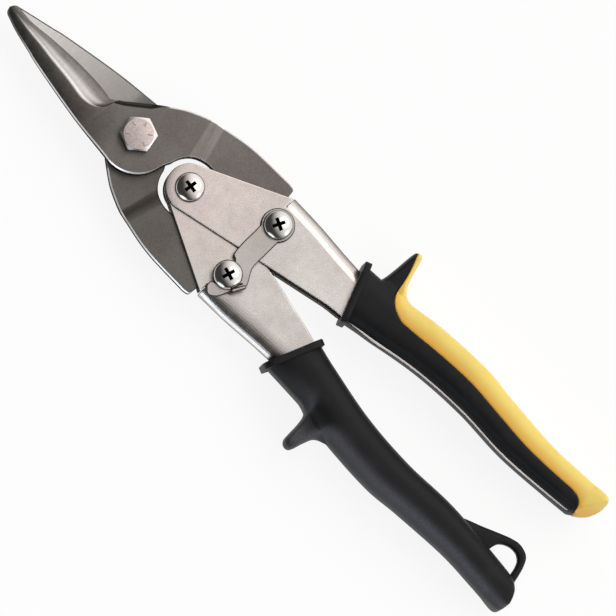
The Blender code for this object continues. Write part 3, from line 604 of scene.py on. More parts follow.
def makeBlade(name, node, body, turn, pinAt, pinHole, tipY, tone):
    # the surface runs across each pair of edge points: chamfer, flank up to the crest, a concave grind
    # down to the cutting edge; the underside is flat with chamfered rims; turn -1 lays it face down
    back, edge, jaw, step = bladeEdges(tipY)
    width = np.linalg.norm(edge - back, axis=1)
    rim = np.minimum(blade["chamfer"] / width, 0.12)
    crestLine = curveThrough(blade["crest"], 240)
    tries = np.linspace(0, 1, 601)
    x = back[:, :1] + tries * (edge - back)[:, :1]
    y = back[:, 1:] + tries * (edge - back)[:, 1:]
    gap = np.abs(y - np.interp(x, crestLine[::-1, 0], crestLine[::-1, 1]))
    crest = tries[np.argmin(gap, axis=1)]
    onJaw = edge[:, 0] > 12.9
    wide = 1 + blade["shoulder"] * np.clip((edge[:, 0] - 1) / 3, 0, 1) * (1 - onJaw)  # the shoulder's broad bevel
    crest = np.where(onJaw, np.minimum(crest, 1 - 1.5 * rim), 1 - 1.5 * rim * wide)
    soft = np.minimum(blade["crestWidth"] / width, 0.25 * (1 - crest))
    flat = np.concatenate([[0.01], np.linspace(0, 1, 13)[1:]])
    inside = np.concatenate([[0, 0.01], np.linspace(0, 1, 9)[1:-1], [0.99, 1]])
    none, whole, band = 0 * rim[:, None], 0 * rim[:, None] + 1, rim[:, None]
    flank = band + (crest - soft - rim)[:, None] * flat
    grind = (crest + soft)[:, None] + (1 - 0.5 * rim - crest - soft)[:, None] * np.linspace(0, 1, 13)
    across = np.hstack([none, none, band, flank, crest[:, None], grind, whole, whole])
    flatAcross = np.hstack([whole, whole, 1 - band - (1 - 2 * band) * inside, none, none])
    rows = back[:, None, :] + across[:, :, None] * (edge - back)[:, None, :]
    flatRows = back[:, None, :] + flatAcross[:, :, None] * (edge - back)[:, None, :]
    level = np.interp(rows[:, :, 0], (blade["tipX"] - 38, blade["tipX"]), (blade["top"], blade["tipCrest"]))
    level = blade["top"] + jaw[:, None] * (level - blade["top"])
    before = np.clip(1 - across / crest[:, None], 0, 1)
    after = np.clip((across - crest[:, None]) / (1 - crest)[:, None], 0, 1)
    depth = (level - blade["gap"] - blade["edgeThick"]) * (1 - (1 - after) ** (1 + blade["hollow"]))
    cut = onJaw.astype(float)[:, None]
    top = level - jaw[:, None] * blade["flankDrop"] * before**1.6 - cut * depth
    top = top - (1 - cut) * blade["chamfer"] * wide[:, None] * np.clip(after * 1.6, 0, 1)
    top[:, :2] -= blade["chamfer"]
    top[:, [0, -1]] -= blade["wallStep"]
    top += step[:, None] * (blade["tangHalf"] - blade["top"])
    low = blade["gap"] + step[:, None] * (-blade["tangHalf"] - blade["gap"]) + 0 * flatRows[:, :, 0]
    low[:, :2] += (blade["chamfer"] * (1 - onJaw))[:, None]
    low[:, -2:] += np.minimum(blade["chamfer"], 0.3 * (top[:, 0] - low[:, -1]))[:, None]
    low[:, [0, -1]] += blade["wallStep"]
    rings = np.concatenate([np.dstack([rows, top]), np.dstack([flatRows, low])], axis=1)
    # mark of ground steel and painted light: the grind, darker to its edge and to the tip, the crest, the flat face and
    # the chamfers; the darkening towards the cutting edge is painted shade, and the crest and chamfers are ground steel
    # with a painted highlight. Below zero it is forging scale with painted shade, on the side walls and the shoulder's
    # bevel, and the given tone darkens the blade all over
    columns, first = across.shape[1], len(flat) + 3
    groundAndPaintedLight = np.full(rings.shape[:2], tone)
    fromTip = blade["tipX"] - rows[:, :, 0]
    toTip = np.clip((fromTip - 2.5) / 8, 0, 1)
    onTang = np.clip((2 - edge[:, :1]) / 3, 0, 1)
    bevel = (1 - cut) * (blade["rimTone"] * onTang + blade["scaleShadeTone"] * (1 - onTang))
    toEdge = np.clip((after - 0.35) / 0.6, 0, 1)
    # painted shade: the grind darkens towards the cutting edge; the bevel term is painted shade on the shoulder and
    # ground steel with a painted highlight on the tang's chamfers
    shade = cut * (blade["grindTone"] * (1 - toEdge) * toTip - 0.3 * toEdge) + bevel
    groundAndPaintedLight[:, first + 1:columns - 1] = shade[:, first + 1:columns - 1]
    # the crest is ground steel with a painted highlight along it
    crestTone = (0.15 + 0.85 * toTip[:, first - 1:first + 2]) * (0.5, 1.0, 0.8)
    crestTone *= np.clip((edge[:, :1] - 13.6) / 2.4, 0, 1)
    groundAndPaintedLight[:, first - 1:first + 2] = np.where(cut > 0, crestTone, groundAndPaintedLight[:, first - 1:first + 2])
    groundAndPaintedLight[:, 1:3] = blade["rimTone"] * np.clip((fromTip[:, 1:3] - 6) / 14, 0, 1)
    # side walls: forging scale with painted shade
    groundAndPaintedLight[:, [0, columns - 1, columns, -1]] = blade["scaleShadeTone"]
    flatX = flatRows[:, 3:-3, 0]
    face = np.clip(0.42 + 0.58 * (flatX - 8) / 40, 0, 1) * blade["faceTone"]
    groundAndPaintedLight[:, columns + 3:-3] = tone + (face - tone) * np.clip((flatX - 2) / 8, 0, 1)
    groundAndPaintedLight[:, columns + 1:columns + 3] = bevel * onTang
    rings[:, :, 1:] *= turn
    piece = addLoft(name, rings, "forged_steel", 24, merge=False, marks={"groundAndPaintedLight": groundAndPaintedLight})
    reach = 2 * blade["top"]
    cutOut(piece, [roundCutter(pivotAt, blade["pivotHole"], -reach, reach),
                   roundCutter(pinAt, pinHole, -reach, reach)], 24)
    replaceNode(piece, node, body)


makeBlade("front_blade_forged", "front_blade", "front_jaw", 1, upperPinAt, blade["frontPinHole"], -0.15, 0.0)
makeBlade("rear_blade_forged", "rear_blade", "rear_jaw", -1, lowerPinAt, blade["rearPinHole"], 0.35, -0.3)
print("blades forged and ground")


# Handles: folded sheet with two ears at the hinge, a web behind the pins, and a grip over the rear
sheet = {
    "thick": 1.4, "edgeRound": 0.34,
    # how far each bend reaches over the face at its widest, at both of its ends, and down the web
    "upperBend": (4.6, 4.6, 4.6), "lowerBend": (7.4, 4.6, 3.4), "bendFull": -60.0,
    "noseRoll": 0.24, "noseRings": (0.0, 0.5, 1.1, 1.9, 2.9),  # the ear's stamped edge rolls down over these steps
    "earRadius": 8.1, "earInnerSlope": 0.222, "earOuterSlope": 0.487,
    "webStart": -51.7, "webFront": [(-51.7, 23.05), (-64.3, 22.7), (-80.3, 21.6)],
    "upperEnd": -189.3, "lowerEnd": -185.6, "webCover": 3.9,
    "upperHalf": 5.15, "lowerHalf": 3.45,  # outer faces of the two channels, from the mid-plane
    "upperShow": 1.1, "showFade": 14.0, "lowerCover": 1.6,  # upper edges stand past the grip, lower ones lie under
    "farWall": 1.5,  # the upper channel's far wall is this much shorter inside the grip
    "pinHole": 3.8,
}
grip = {
    "frontX": -87.3, "length": 110.8,
    "upperShift": 0.8,  # the upper grip reaches this much nearer to the centre line
    # share of the length behind the front, distance from the centre line
    "outer": [(-0.1, 23.7), (0.114, 25.0), (0.267, 27.4), (0.447, 28.4), (0.568, 27.2), (0.748, 25.9),
              (0.87, 26.4), (1.0, 27.4)],
    "inner": [(-0.1, 3.0), (0.033, 5.3), (0.119, 7.5), (0.303, 11.4), (0.483, 12.8), (0.663, 12.1),
              (0.834, 13.4), (1.0, 15.2)],
}


def gripSide(side, x):
    return heightAlong([(grip["frontX"] - share * grip["length"], v) for share, v in grip[side]], x)


def webSide(x):
    # the web's outside: bare in front of the grip, then under an even cover
    covered = np.linspace(grip["frontX"] - 13, sheet["upperEnd"], 7)
    return heightAlong(sheet["webFront"] + list(zip(covered, gripSide("outer", covered) - sheet["webCover"])), x)


def openSide(x, side):
    # the channel's open edge: straight from the ear, then along the grip at a set cover; the upper one
    # draws back under its grip at the end
    start = grip["frontX"] + 3
    lift = sheet["earRadius"] * math.sqrt(1 + sheet["earInnerSlope"] ** 2)
    ear = sheet["earInnerSlope"] * (hingeAt[0] - np.array([start + 8, start])) - lift
    inside = np.linspace(grip["frontX"] - 16, sheet["upperEnd"], 12)
    shown = np.clip((inside - sheet["upperEnd"]) / sheet["showFade"], 0, 1) * (sheet["upperShow"] - grip["upperShift"])
    cover = sheet["lowerCover"] if side > 0 else -grip["upperShift"] - shown
    keys = [(start + 8, ear[0]), (start, ear[1])] + list(zip(inside, gripSide("inner", inside) + cover))
    straight = sheet["earInnerSlope"] * (hingeAt[0] - x) - lift
    return np.where(x > start, straight, heightAlong(keys, x))


def makeChannel(name, node, body, side, half, bendSize, rearEnd, pinAt):
    # two flat walls whose outline is open edge, round ear, tangent line; between them a strip that runs
    # round one bend, over the web and round the other; Solidify gives the sheet, Bevel its rolled edges
    radius = sheet["earRadius"]
    wall = half - sheet["thick"] / 2
    widest, ends, bend = np.array(bendSize) - sheet["thick"] / 2
    innerTouch = -90 - math.degrees(math.atan(sheet["earInnerSlope"]))
    outerTouch = 90 - math.degrees(math.atan(sheet["earOuterSlope"]))
    reaches = radius - np.array(sheet["noseRings"])
    rolls = np.array([circlePart(hingeAt, reach, innerTouch, outerTouch, 40) for reach in reaches])
    nose = rolls[0]
    envelope = np.sin(np.linspace(0, math.pi, 40)) ** 0.6
    drop = sheet["noseRoll"] * (1 - np.array(sheet["noseRings"]) / sheet["noseRings"][-1]) ** 2.4
    rearX = np.linspace(rearEnd, nose[0][0] - 1.5, 90)
    openEdge = np.column_stack([rearX, openSide(rearX, side)])
    earEnd = np.array([[sheet["webStart"] + 0.25, nose[-1][1] + sheet["earOuterSlope"]
                        * (nose[-1][0] - sheet["webStart"] - 0.25)]])
    webX = np.concatenate([[sheet["webStart"] + 0.25], np.linspace(sheet["webStart"], rearEnd, 90)])
    high = webSide(np.minimum(webX, sheet["webStart"])) - sheet["thick"] / 2
    turn = np.radians(np.linspace(90, 0, 13))
    down = np.linspace(wall - bend, bend - wall, 5)[1:-1]
    v = np.concatenate([np.cos(turn), 0 * down + 1, np.cos(turn)[::-1]]) - 1
    places = (grip["frontX"] - 16, grip["frontX"] - 2, sheet["bendFull"], sheet["webStart"])
    v = np.interp(webX, places, (ends, widest, widest, ends))[:, None] * v
    z = np.concatenate([wall - bend + bend * np.sin(turn), down, (bend - wall) - bend * np.sin(turn)[::-1]])
    strip = np.dstack([webX[:, None] + 0 * v, high[:, None] + v, z + 0 * v])
    ring = np.dstack([rolls, wall - drop[:, None] * envelope])  # rows from the nose's edge inwards
    plate = np.vstack([np.column_stack([openEdge, np.full(len(openEdge), wall)]), ring.reshape(-1, 3),
                       [[*earEnd[0], wall]]])
    far = plate * (1, 1, -1)
    if side < 0:
        far[:len(openEdge), 1] += sheet["farWall"] * np.clip((grip["frontX"] - 2 - rearX) / 8, 0, 1)
    count, columns = strip.shape[:2]
    points = np.vstack([strip.reshape(-1, 3), plate, far]) * (1, side, 1)
    index = np.arange(count * columns).reshape(count, columns)
    first = count * columns
    a = index[1:-1, :-1]
    strips = np.stack([a, index[2:, :-1], index[2:, 1:], index[1:-1, 1:]], axis=-1).reshape(-1, 4).tolist()
    turns = np.arange(rolls[..., 0].size).reshape(rolls.shape[:2]) + len(openEdge)
    rolled = np.stack([turns[:-1, :-1], turns[:-1, 1:], turns[1:, 1:], turns[1:, :-1]], axis=-1).reshape(-1, 4)
    border = [*range(len(openEdge)), *turns[:, 0], *turns[-1, 1:-1], *turns[::-1, -1], len(plate) - 1]
    upper = [first + i for i in border] + index[:, 0].tolist()
    lower = [first + len(plate) + i for i in border] + index[:, -1].tolist()
    strips += (rolled + first).tolist() + (rolled + first + len(plate)).tolist()
    used = np.unique(np.concatenate([np.concatenate(strips), upper, lower]))
    place = np.zeros(len(points), int)
    place[used] = np.arange(len(used))
    faces = [place[face].tolist() for face in strips + [upper, lower]]
    piece = addPiece(name, points[used], faces, "nickel_plate", 0)
    thicken(piece, sheet["thick"], True)
    reach = 2 * half
    cutOut(piece, [roundCutter(hingeAt, sheet["pinHole"], -reach, reach),
                   roundCutter(pinAt, sheet["pinHole"], -reach, reach)], 0)
    rollEdges(piece, sheet["edgeRound"], 4)
    replaceNode(piece, node, body)


makeChannel("upper_channel_folded", "upper_channel", "upper_handle", -1, sheet["upperHalf"],
            sheet["upperBend"], sheet["upperEnd"], upperPinAt)
makeChannel("lower_channel_folded", "lower_channel", "lower_handle", 1, sheet["lowerHalf"],
            sheet["lowerBend"], sheet["lowerEnd"], lowerPinAt)
print("channels folded")


# Grips: moulded sleeves whose outline, with the guard horn, is a line on each side of the handle
moulding = {
    "half": 10.0, "taper": 1.6, "upperSquare": 3.2, "lowerSquare": 2.5, "flangeSquare": 7.0, "endSquare": 7.0,
    # the end's outline from each side to the tip: a small outer corner, and the inner one cut off
    "endOuter": [(-193.0, 26.95), (-195.2, 26.9), (-196.6, 26.3), (-197.3, 24.8), (-197.6, 22.3)],
    "endInner": [(-193.0, 15.35), (-194.6, 16.5), (-195.9, 17.9), (-197.0, 20.3), (-197.6, 22.3)],
    "endStart": -189.9, "endDrop": 2.0,
    # the upper end's oblique facet: two points of its foot, its height there and its steepness
    "facet": [(-194.2, 16.0), (-197.3, 21.2)], "facetFoot": 1.8, "facetSteep": 2.4,
    "sheenAt": 0.17, "sheenWide": 0.15,  # band of painted sheen along the lower grip's outer side, as shares of the width
    "collarOuter": (-83.6, 23.6), "collarInner": (-90.9, 5.2),  # ends of the oblique front
    "hornHalf": 5.6, "hornRound": 1.5,
    "upperFade": (-89.5, -91.5, -99.5, -104.0),  # where each horn rises out of the grip and sinks into it
    "lowerFade": (-101.5, -104.0, -112.5, -117.5),
    "upperHorn": [(-91.0, 24.3), (-91.6, 26.5), (-92.1, 31.0), (-92.6, 37.1), (-93.2, 39.4), (-94.9, 39.9),
                  (-96.0, 38.9), (-97.7, 33.0), (-99.3, 28.9), (-101.6, 26.6), (-105.4, 25.9)],
    "upperRoot": (-94.0, -106.5),  # stretch of the inner edge that the horn's outline is tied to
    "lowerHorn": [(-101.2, 24.0), (-103.4, 24.7), (-105.0, 26.2), (-105.7, 29.5), (-105.9, 34.5), (-106.2, 36.8),
                  (-107.6, 38.1), (-109.4, 38.0), (-110.4, 36.6), (-111.6, 32.8), (-113.4, 29.2), (-117.9, 27.4)],
    "lowerRoot": (-101.5, -117.5),
    "bead": 0.12, "beadAt": 1.3, "beadWide": 0.4,  # raised line along the lower grip's inner edge
    "step": 0.28, "stepAt": 2.0, "stepWide": 0.34,  # sunk line along the upper one's
}
inlay = {
    # boundary of the yellow moulding, from the horn's tip to its end
    "line": [(-93.0, 40.6), (-94.1, 37.9), (-96.1, 32.6), (-97.3, 28.0), (-97.9, 24.6), (-99.2, 22.0), (-101.0, 20.2),
             (-104.0, 18.8), (-108.0, 18.3), (-123.0, 19.7), (-137.0, 20.3), (-152.0, 19.3), (-163.0, 18.6),
             (-172.0, 18.7), (-180.6, 19.2), (-185.5, 19.5), (-188.8, 18.9), (-190.6, 17.2), (-191.3, 15.0),
             (-191.5, 11.0)],
    "groove": 0.22, "grooveWide": 0.3,
}
loop = {
    # matched points along the outside and the inside of the hanging loop
    "outside": [(-161.0, 15.0), (-167.5, 11.9), (-173.0, 9.7), (-179.0, 7.1), (-183.1, 5.5), (-186.2, 4.9),
                (-189.2, 5.5), (-191.2, 6.9), (-192.6, 9.8), (-193.5, 13.0), (-194.3, 17.0)],
    "inside": [(-161.0, 17.0), (-169.0, 17.0), (-176.0, 17.0), (-179.6, 15.0), (-181.0, 10.4), (-184.0, 8.3),
               (-187.2, 8.1), (-189.4, 9.4), (-190.4, 11.2), (-191.0, 13.6), (-191.5, 17.0)],
    "half": 2.0,
}


def innerSide(x, shift):
    # a grip's inner edge, moved in by the shift behind its front
    return gripSide("inner", x) - shift * np.clip((grip["frontX"] + 2 - x) / 18, 0, 1)


def gripOutlines(horn, root, shift, countFront, countHorn, countRear):
    # matched points along the outer line (front, horn, rear) and the inner edge of one grip
    hornLine = evenly(curveThrough(horn, 300), countHorn)
    rearX = np.linspace(horn[-1][0], moulding["endStart"], countRear + 1)[1:]
    frontLine = curveThrough([moulding["collarOuter"], horn[0]], countFront + 1)[:-1]
    outer = np.vstack([frontLine, hornLine, np.column_stack([rearX, gripSide("outer", rearX)])])
    innerX = np.concatenate([np.linspace(moulding["collarInner"][0], root[0], countFront + 1)[:-1],
                             np.linspace(root[0], root[1], countHorn), rearX + (root[1] - horn[-1][0])
                             * np.linspace(1, 0, len(rearX))])
    inner = np.column_stack([innerX, innerSide(innerX, shift)])
    return outer, inner


def gripDepth(points, form):
    # half depth over the outline: a rounded bar between the grip's edges, joined softly with the horn,
    # whose depth grows from its own outline to a flat
    horn = form["horn"]
    x, v = points[..., 0], points[..., 1]
    low, high = innerSide(x, form["shift"]), gripSide("outer", x)
    share = (grip["frontX"] - x) / grip["length"]
    half = moulding["half"] - moulding["taper"] * np.abs(share - 0.45) * 2
    place = np.clip(np.abs(v - (low + high) / 2) / ((high - low) / 2), 0, 1)
    bar = half * (1 - place ** form["square"]) ** (1 / form["square"])
    fade = np.interp(-x, -np.array(form["fade"]), (0, 1, 1, 0))
    start, end = horn[:-1], np.diff(horn, axis=0)
    flat = points.reshape(-1, 2)
    away = np.zeros(len(flat))
    chosen = (fade > 0).ravel()
    along = np.clip(((flat[chosen, None] - start) * end).sum(-1) / (end**2).sum(-1), 0, 1)
    away[chosen] = np.linalg.norm(flat[chosen, None] - start - along[..., None] * end, axis=-1).min(1)
    rise = np.clip(away.reshape(x.shape) / moulding["hornRound"], 0, 1)
    fin = moulding["hornHalf"] * (1 - (1 - rise) ** 2.2) ** (1 / 2.2)
    fin = fin * np.clip((v - high + 6) / 6, 0, 1) * fade
    return (bar**4 + fin**4) ** 0.25


def collarRows(outer, inner):
    # rows of the flange at the front; each step is how far back it lies and how proud it stands
    steps = [(0.0, -3.4), (0.0, -0.2), (0.0, 0.88), (0.07, 1.04), (0.22, 1.1),
             (2.1, 1.1), (2.24, 1.04), (2.31, 0.88), (2.35, 0.0)]
    across = (outer[0] - inner[0]) / np.linalg.norm(outer[0] - inner[0])
    back = np.array([across[1] * -1, across[0]])
    rows = [(outer[0] + back * step + across * proud, inner[0] + back * step - across * proud, proud)
            for step, proud in steps]
    return [row[0] for row in rows], [row[1] for row in rows], np.array([row[2] for row in rows])


def gripGrid(name):
    # outline pairs, with the collar's rows in front, and rows that run along both sides of the end
    horn = np.array(moulding[f"{name}Horn"])
    form = {"horn": curveThrough(horn, 150), "fade": moulding[f"{name}Fade"], "square": moulding[f"{name}Square"],
            "shift": grip["upperShift"] if name == "upper" else 0.0}
    outer, inner = gripOutlines(horn, moulding[f"{name}Root"], form["shift"], 16, 96, 150)
    flangeOuter, flangeInner, proud = collarRows(outer, inner)
    turn = np.radians(np.linspace(0, 90, 25)[1:])  # rows gather towards the tip
    place = np.sin(turn) * 200
    ends = []
    for side, keys in ((outer[-1], moulding["endOuter"]), (inner[-1], moulding["endInner"])):
        line = evenly(curveThrough([side, *keys], 300), 201)
        ends.append(np.column_stack([np.interp(place, np.arange(201), line[:, i]) for i in range(2)]))
    form["outers"] = np.vstack([flangeOuter, outer, ends[0]])
    form["inners"] = np.vstack([flangeInner, inner, ends[1]])
    form["lift"] = np.concatenate([proud, np.zeros(len(outer)), -moulding["endDrop"] * (1 - np.cos(turn))])
    form["front"], form["rear"] = len(proud), len(proud) + len(outer) - 1
    return form


def gripSurface(form, t, used):
    # the top half on the grid of rows and shares t across: plan point and half depth; the collar and
    # the end are plain rounded bars that are as deep as the nearest row of the body
    outers, inners, front, rear = form["outers"], form["inners"], form["front"], form["rear"]
    plan = outers[used, None] + t[..., None] * (inners - outers)[used, None]
    depth = gripDepth(plan, form)
    middle = (outers + inners) / 2
    half = gripDepth(middle[np.clip(used, front, rear)][:, None], form)
    ending = np.clip((used - rear) / 16, 0, 1) * (moulding["endSquare"] - form["square"])
    power = np.where(used < front, moulding["flangeSquare"], form["square"] + ending)[:, None]
    ring = (1 - np.abs(2 * t - 1) ** power) ** (1 / power)
    plain = ((used < front) | (used > rear))[:, None]
    return plan, np.where(plain, np.maximum(half + form["lift"][used, None], 0.02) * ring, depth)


def closedRings(plan, depth, wall=0):
    # top half across, then a plain wall at its first edge or none, then the bottom half back
    top = np.dstack([plan, depth])
    bottom = np.dstack([plan, -depth])[:, ::-1]
    share = np.linspace(-1, 1, wall + 2)[1:-1]
    side = np.dstack([np.repeat(plan[:, :1], wall, axis=1), depth[:, :1] * share])
    return np.concatenate([top, bottom, side], axis=1)


def cosineShares(count):
    return (1 - np.cos(np.pi * np.arange(count + 1) / count)) / 2


def makeLoop():
    # rounded bar between the loop's outside and inside lines; both of its ends lie inside the grip
    outside = curveThrough(loop["outside"], 121)
    inside = curveThrough(loop["inside"], 121)
    turn = np.linspace(0, 2 * np.pi, 33)[:-1]
    reach = np.sign(np.cos(turn)) * np.abs(np.cos(turn)) ** 0.55
    height = loop["half"] * np.sign(np.sin(turn)) * np.abs(np.sin(turn)) ** 0.55
    middle, arm = (outside + inside) / 2, (outside - inside) / 2
    plan = middle[:, None] + arm[:, None] * reach[None, :, None]
    return np.dstack([plan, np.repeat(height[None], len(plan), axis=0)])


def joinShells(shells):
    # several closed lofts as one mesh: points and faces with their numbers moved on
    points, faces, first = [], [], 0
    for rings in shells:
        count, size, _ = rings.shape
        own = ringFaces(count, size) + [list(range(size))[::-1], [(count - 1) * size + i for i in range(size)]]
        faces += [[first + i for i in face] for face in own]
        points.append(rings.reshape(-1, 3))
        first += count * size
    return np.vstack(points), faces


def makeLowerGrip():
    form = gripGrid("lower")
    used = np.arange(len(form["outers"]))
    t = np.repeat(cosineShares(44)[None], len(used), axis=0)
    plan, depth = gripSurface(form, t, used)
    toEdge = np.linalg.norm(plan - form["inners"][:, None], axis=-1)
    bead = np.exp(-((toEdge - moulding["beadAt"]) / moulding["beadWide"]) ** 2)
    bead[:form["front"] + 3] = 0
    depth = depth + moulding["bead"] * bead * (depth > 0.05)
    # painted sheen: a paler band along the grip's outer side, where light would catch its rounding
    band = np.exp(-((t - moulding["sheenAt"]) / moulding["sheenWide"]) ** 2)
    band *= np.interp(used, (form["front"] + 2, form["front"] + 20, form["front"] + 110), (0, 0.6, 1))[:, None]
    points, faces = joinShells([closedRings(plan, depth), makeLoop()])
    paintedSheen = np.zeros(len(points))
    paintedSheen[:2 * band.size] = np.hstack([band, band[:, ::-1]]).ravel()
    piece = addPiece("lower_grip_moulded", points, faces, "black_plastic", 48, marks={"paintedSheen": paintedSheen})
    replaceNode(piece, "lower_grip", "lower_handle")


def insideOutline(points, corners):
    # even-odd rule: a point is inside where a line from it crosses the outline an odd number of times
    x, y = points[..., 0][..., None], points[..., 1][..., None]
    x0, y0 = corners[:, 0], corners[:, 1]
    x1, y1 = np.roll(x0, -1), np.roll(y0, -1)
    crosses = (y0 > y) != (y1 > y)
    at = x0 + (y - y0) * (x1 - x0) / np.where(y1 == y0, 1e-9, y1 - y0)
    return (crosses & (x < at)).sum(-1) % 2 == 1


def facetHeight(points):
    # height of the end's facet: at its foot, plus its steepness times the distance inwards from that line
    foot, end = np.array(moulding["facet"])
    along = (end - foot) / np.linalg.norm(end - foot)
    inwards = along[1] * (points[..., 0] - foot[0]) - along[0] * (points[..., 1] - foot[1])
    return np.maximum(moulding["facetFoot"] + moulding["facetSteep"] * inwards, 0.02)


def makeUpperGrip():
    # the two mouldings share one surface; on each row the inlay takes the share up to its boundary line
    form = gripGrid("upper")
    outers, inners = form["outers"], form["inners"]
    line = curveThrough(inlay["line"], 260)
    region = np.vstack([line, [(-400.0, 0.0), (-400.0, 60.0)]])
    tries = np.linspace(0, 1, 401)
    plan = outers[:, None] + tries[:, None] * (inners - outers)[:, None]
    yellow = insideOutline(plan, region)
    border = np.where(yellow[:, 0], yellow.cumprod(axis=1).sum(1) / len(tries), 0)
    rows = np.nonzero(border > 0)[0]
    border[rows[0]:] = np.maximum(border[rows[0]:], 1e-4)
    share = cosineShares(44)
    for name, node, finish, start, end, used in (
            ("upper_inlay_moulded", "upper_inlay", "yellow_plastic", 0 * border, border,
             np.arange(rows[0], len(border))),
            ("upper_grip_moulded", "upper_grip", "black_plastic", 1 + 0 * border, border,
             np.arange(0, np.nonzero(border < 0.995)[0][-1] + 1))):
        t = (end[:, None] + (start - end)[:, None] * share)[used]
        surface, depth = gripSurface(form, t, used)
        toBorder = np.linalg.norm(surface - surface[:, :1], axis=-1)
        dip = inlay["groove"] * np.exp(-(toBorder / inlay["grooveWide"]) ** 2) * (border[used] > 0)[:, None]
        toEdge = np.linalg.norm(surface - inners[used][:, None], axis=-1)
        sunk = moulding["step"] * np.exp(-((toEdge - moulding["stepAt"]) / moulding["stepWide"]) ** 2)
        sunk *= ((used > form["front"] + 12) & (used <= form["rear"]))[:, None] * (finish == "black_plastic")
        depth = np.minimum(np.maximum(depth - dip - sunk, 0), facetHeight(surface))
        rings = closedRings(surface, depth, 12) * (1, -1, 1)
        fromBorder = np.concatenate([share, share[::-1], np.zeros(12)])  # 0 where the mouldings meet
        points, faces = joinShells([rings])
        piece = addPiece(name, points, faces, finish, 48, marks={"fromBorder": np.tile(fromBorder, len(rings))})
        replaceNode(piece, node, "upper_handle")


makeLowerGrip()
makeUpperGrip()
print("grips moulded")


# Fasteners: profiles turned about an axis, with a hex outline where a spanner goes
fastener = {
    "steps": 96,
    "boltSeat": 4.65, "boltHead": 4.0, "boltFlats": 11.1, "boltTurn": 40.3, "boltShank": 3.175, "boltEnd": -10.0,
    "crown": 5.15, "crownSlope": 0.6, "markInner": 3.2, "markOuter": 4.5, "markWide": 0.5, "markHigh": 0.4,
    "screwHead": 5.0, "screwRise": 2.9, "screwRim": 0.7, "screwShank": 2.5,
    "crossLength": 4.7, "crossWide": 1.25, "crossDeep": 1.9,
    "nutFlats": 8.0, "nutThick": 3.6, "nutHole": 2.8, "nutTurn": 10,
    "pivotNutThick": 3.85, "pivotNutHole": 3.475, "pivotNutTurn": 17,
}
seats = {  # place, underside of the head, end of the shank, turn of the cross, body
    "hinge": (hingeAt, 5.45, -9.05, 83, "upper_handle"),
    "upper_pin": (upperPinAt, 6.95, -9.05, 65, "upper_handle"),
    "lower_pin": (lowerPinAt, 6.95, -7.35, 74, "lower_handle"),
}


def turnedRings(centre, profile, flats=None, turn=0.0):
    # rings about a vertical axis from (radius, z) pairs; a radius below zero means the hex outline,
    # whose distance from the axis is half the flats over the cosine of the angle from a flat's middle;
    # its height drops by the crown's slope where the corners stand out past the crown
    angle = np.arange(fastener["steps"]) * 2 * np.pi / fastener["steps"] + math.radians(turn)
    sixth = np.radians(60)
    hexReach = (flats or 1) / 2 / np.cos((angle - math.radians(turn)) % sixth - sixth / 2)
    rings = []
    for radius, z, slope in profile:
        reach = hexReach if radius < 0 else np.full(len(angle), radius)
        drop = slope * np.maximum(hexReach - fastener["crown"] / fastener["boltFlats"] * (flats or 1), 0)
        rings.append(np.column_stack([centre[0] + reach * np.cos(angle), centre[1] + reach * np.sin(angle), z + drop]))
    return np.array(rings)


def spokeAxes(angle):
    return np.array([math.cos(angle), math.sin(angle)]), np.array([-math.sin(angle), math.cos(angle)])


def makeBolt():
    seat, top = fastener["boltSeat"], fastener["boltSeat"] + fastener["boltHead"]
    shank, end, slope = fastener["boltShank"], fastener["boltEnd"], fastener["crownSlope"]
    profile = [(shank - 0.5, end, 0), (shank, end + 0.5, 0), (shank, seat, 0), (-1, seat, 0),
               (-1, top - 0.06, -slope), (-1, top, -slope),
               (fastener["crown"], top, 0), (fastener["crown"] - 0.12, top + 0.02, 0)]
    body = turnedRings(pivotAt, profile, fastener["boltFlats"], fastener["boltTurn"])
    marks = []
    for spoke in np.radians(fastener["boltTurn"] + 60 * np.arange(6)):  # six raised radial ticks
        out, across = spokeAxes(spoke)
        wide = fastener["markWide"] / 2
        corners = np.array([out * fastener["markInner"] - across * wide, out * fastener["markOuter"] - across * wide,
                            out * fastener["markOuter"] + across * wide, out * fastener["markInner"] + across * wide])
        middle = corners.mean(0)
        levels = [(1.0, top - 0.1), (1.0, top + 0.6 * fastener["markHigh"]), (0.8, top + fastener["markHigh"])]
        marks.append(np.array([np.column_stack([middle + (corners - middle) * size + pivotAt, np.full(4, z)])
                               for size, z in levels]))
    points, faces = joinShells([body] + marks)
    worn = np.zeros(len(points))  # painted highlight on the chamfer
    worn[5 * fastener["steps"]:7 * fastener["steps"]] = 1.0
    piece = addPiece("pivot_bolt_hex", points, faces, "bright_steel", 20, marks={"worn": worn})
    piece.data.materials[0] = finishes["bolt_steel"]
    replaceNode(piece, "pivot_bolt", "front_jaw")


def crossCutters(centre, top, turn):
    # two tapered bars at right angles, deepest at the middle
    cutters = []
    for spoke in np.radians((turn, turn + 90)):
        out, across = spokeAxes(spoke)
        rings = []
        for share, z in ((0.55, top - fastener["crossDeep"]), (0.95, top - 0.7), (1.0, top + 1.0)):
            long = out * fastener["crossLength"] / 2 * share
            wide = across * fastener["crossWide"] / 2 * (0.45 + 0.55 * share)
            corners = np.array([-long - wide, long - wide, long + wide, wide - long]) + centre
            rings.append(np.column_stack([corners, np.full(4, z)]))
        cutters.append(addLoft("cutter", rings, "bright_steel", 0))
    return cutters


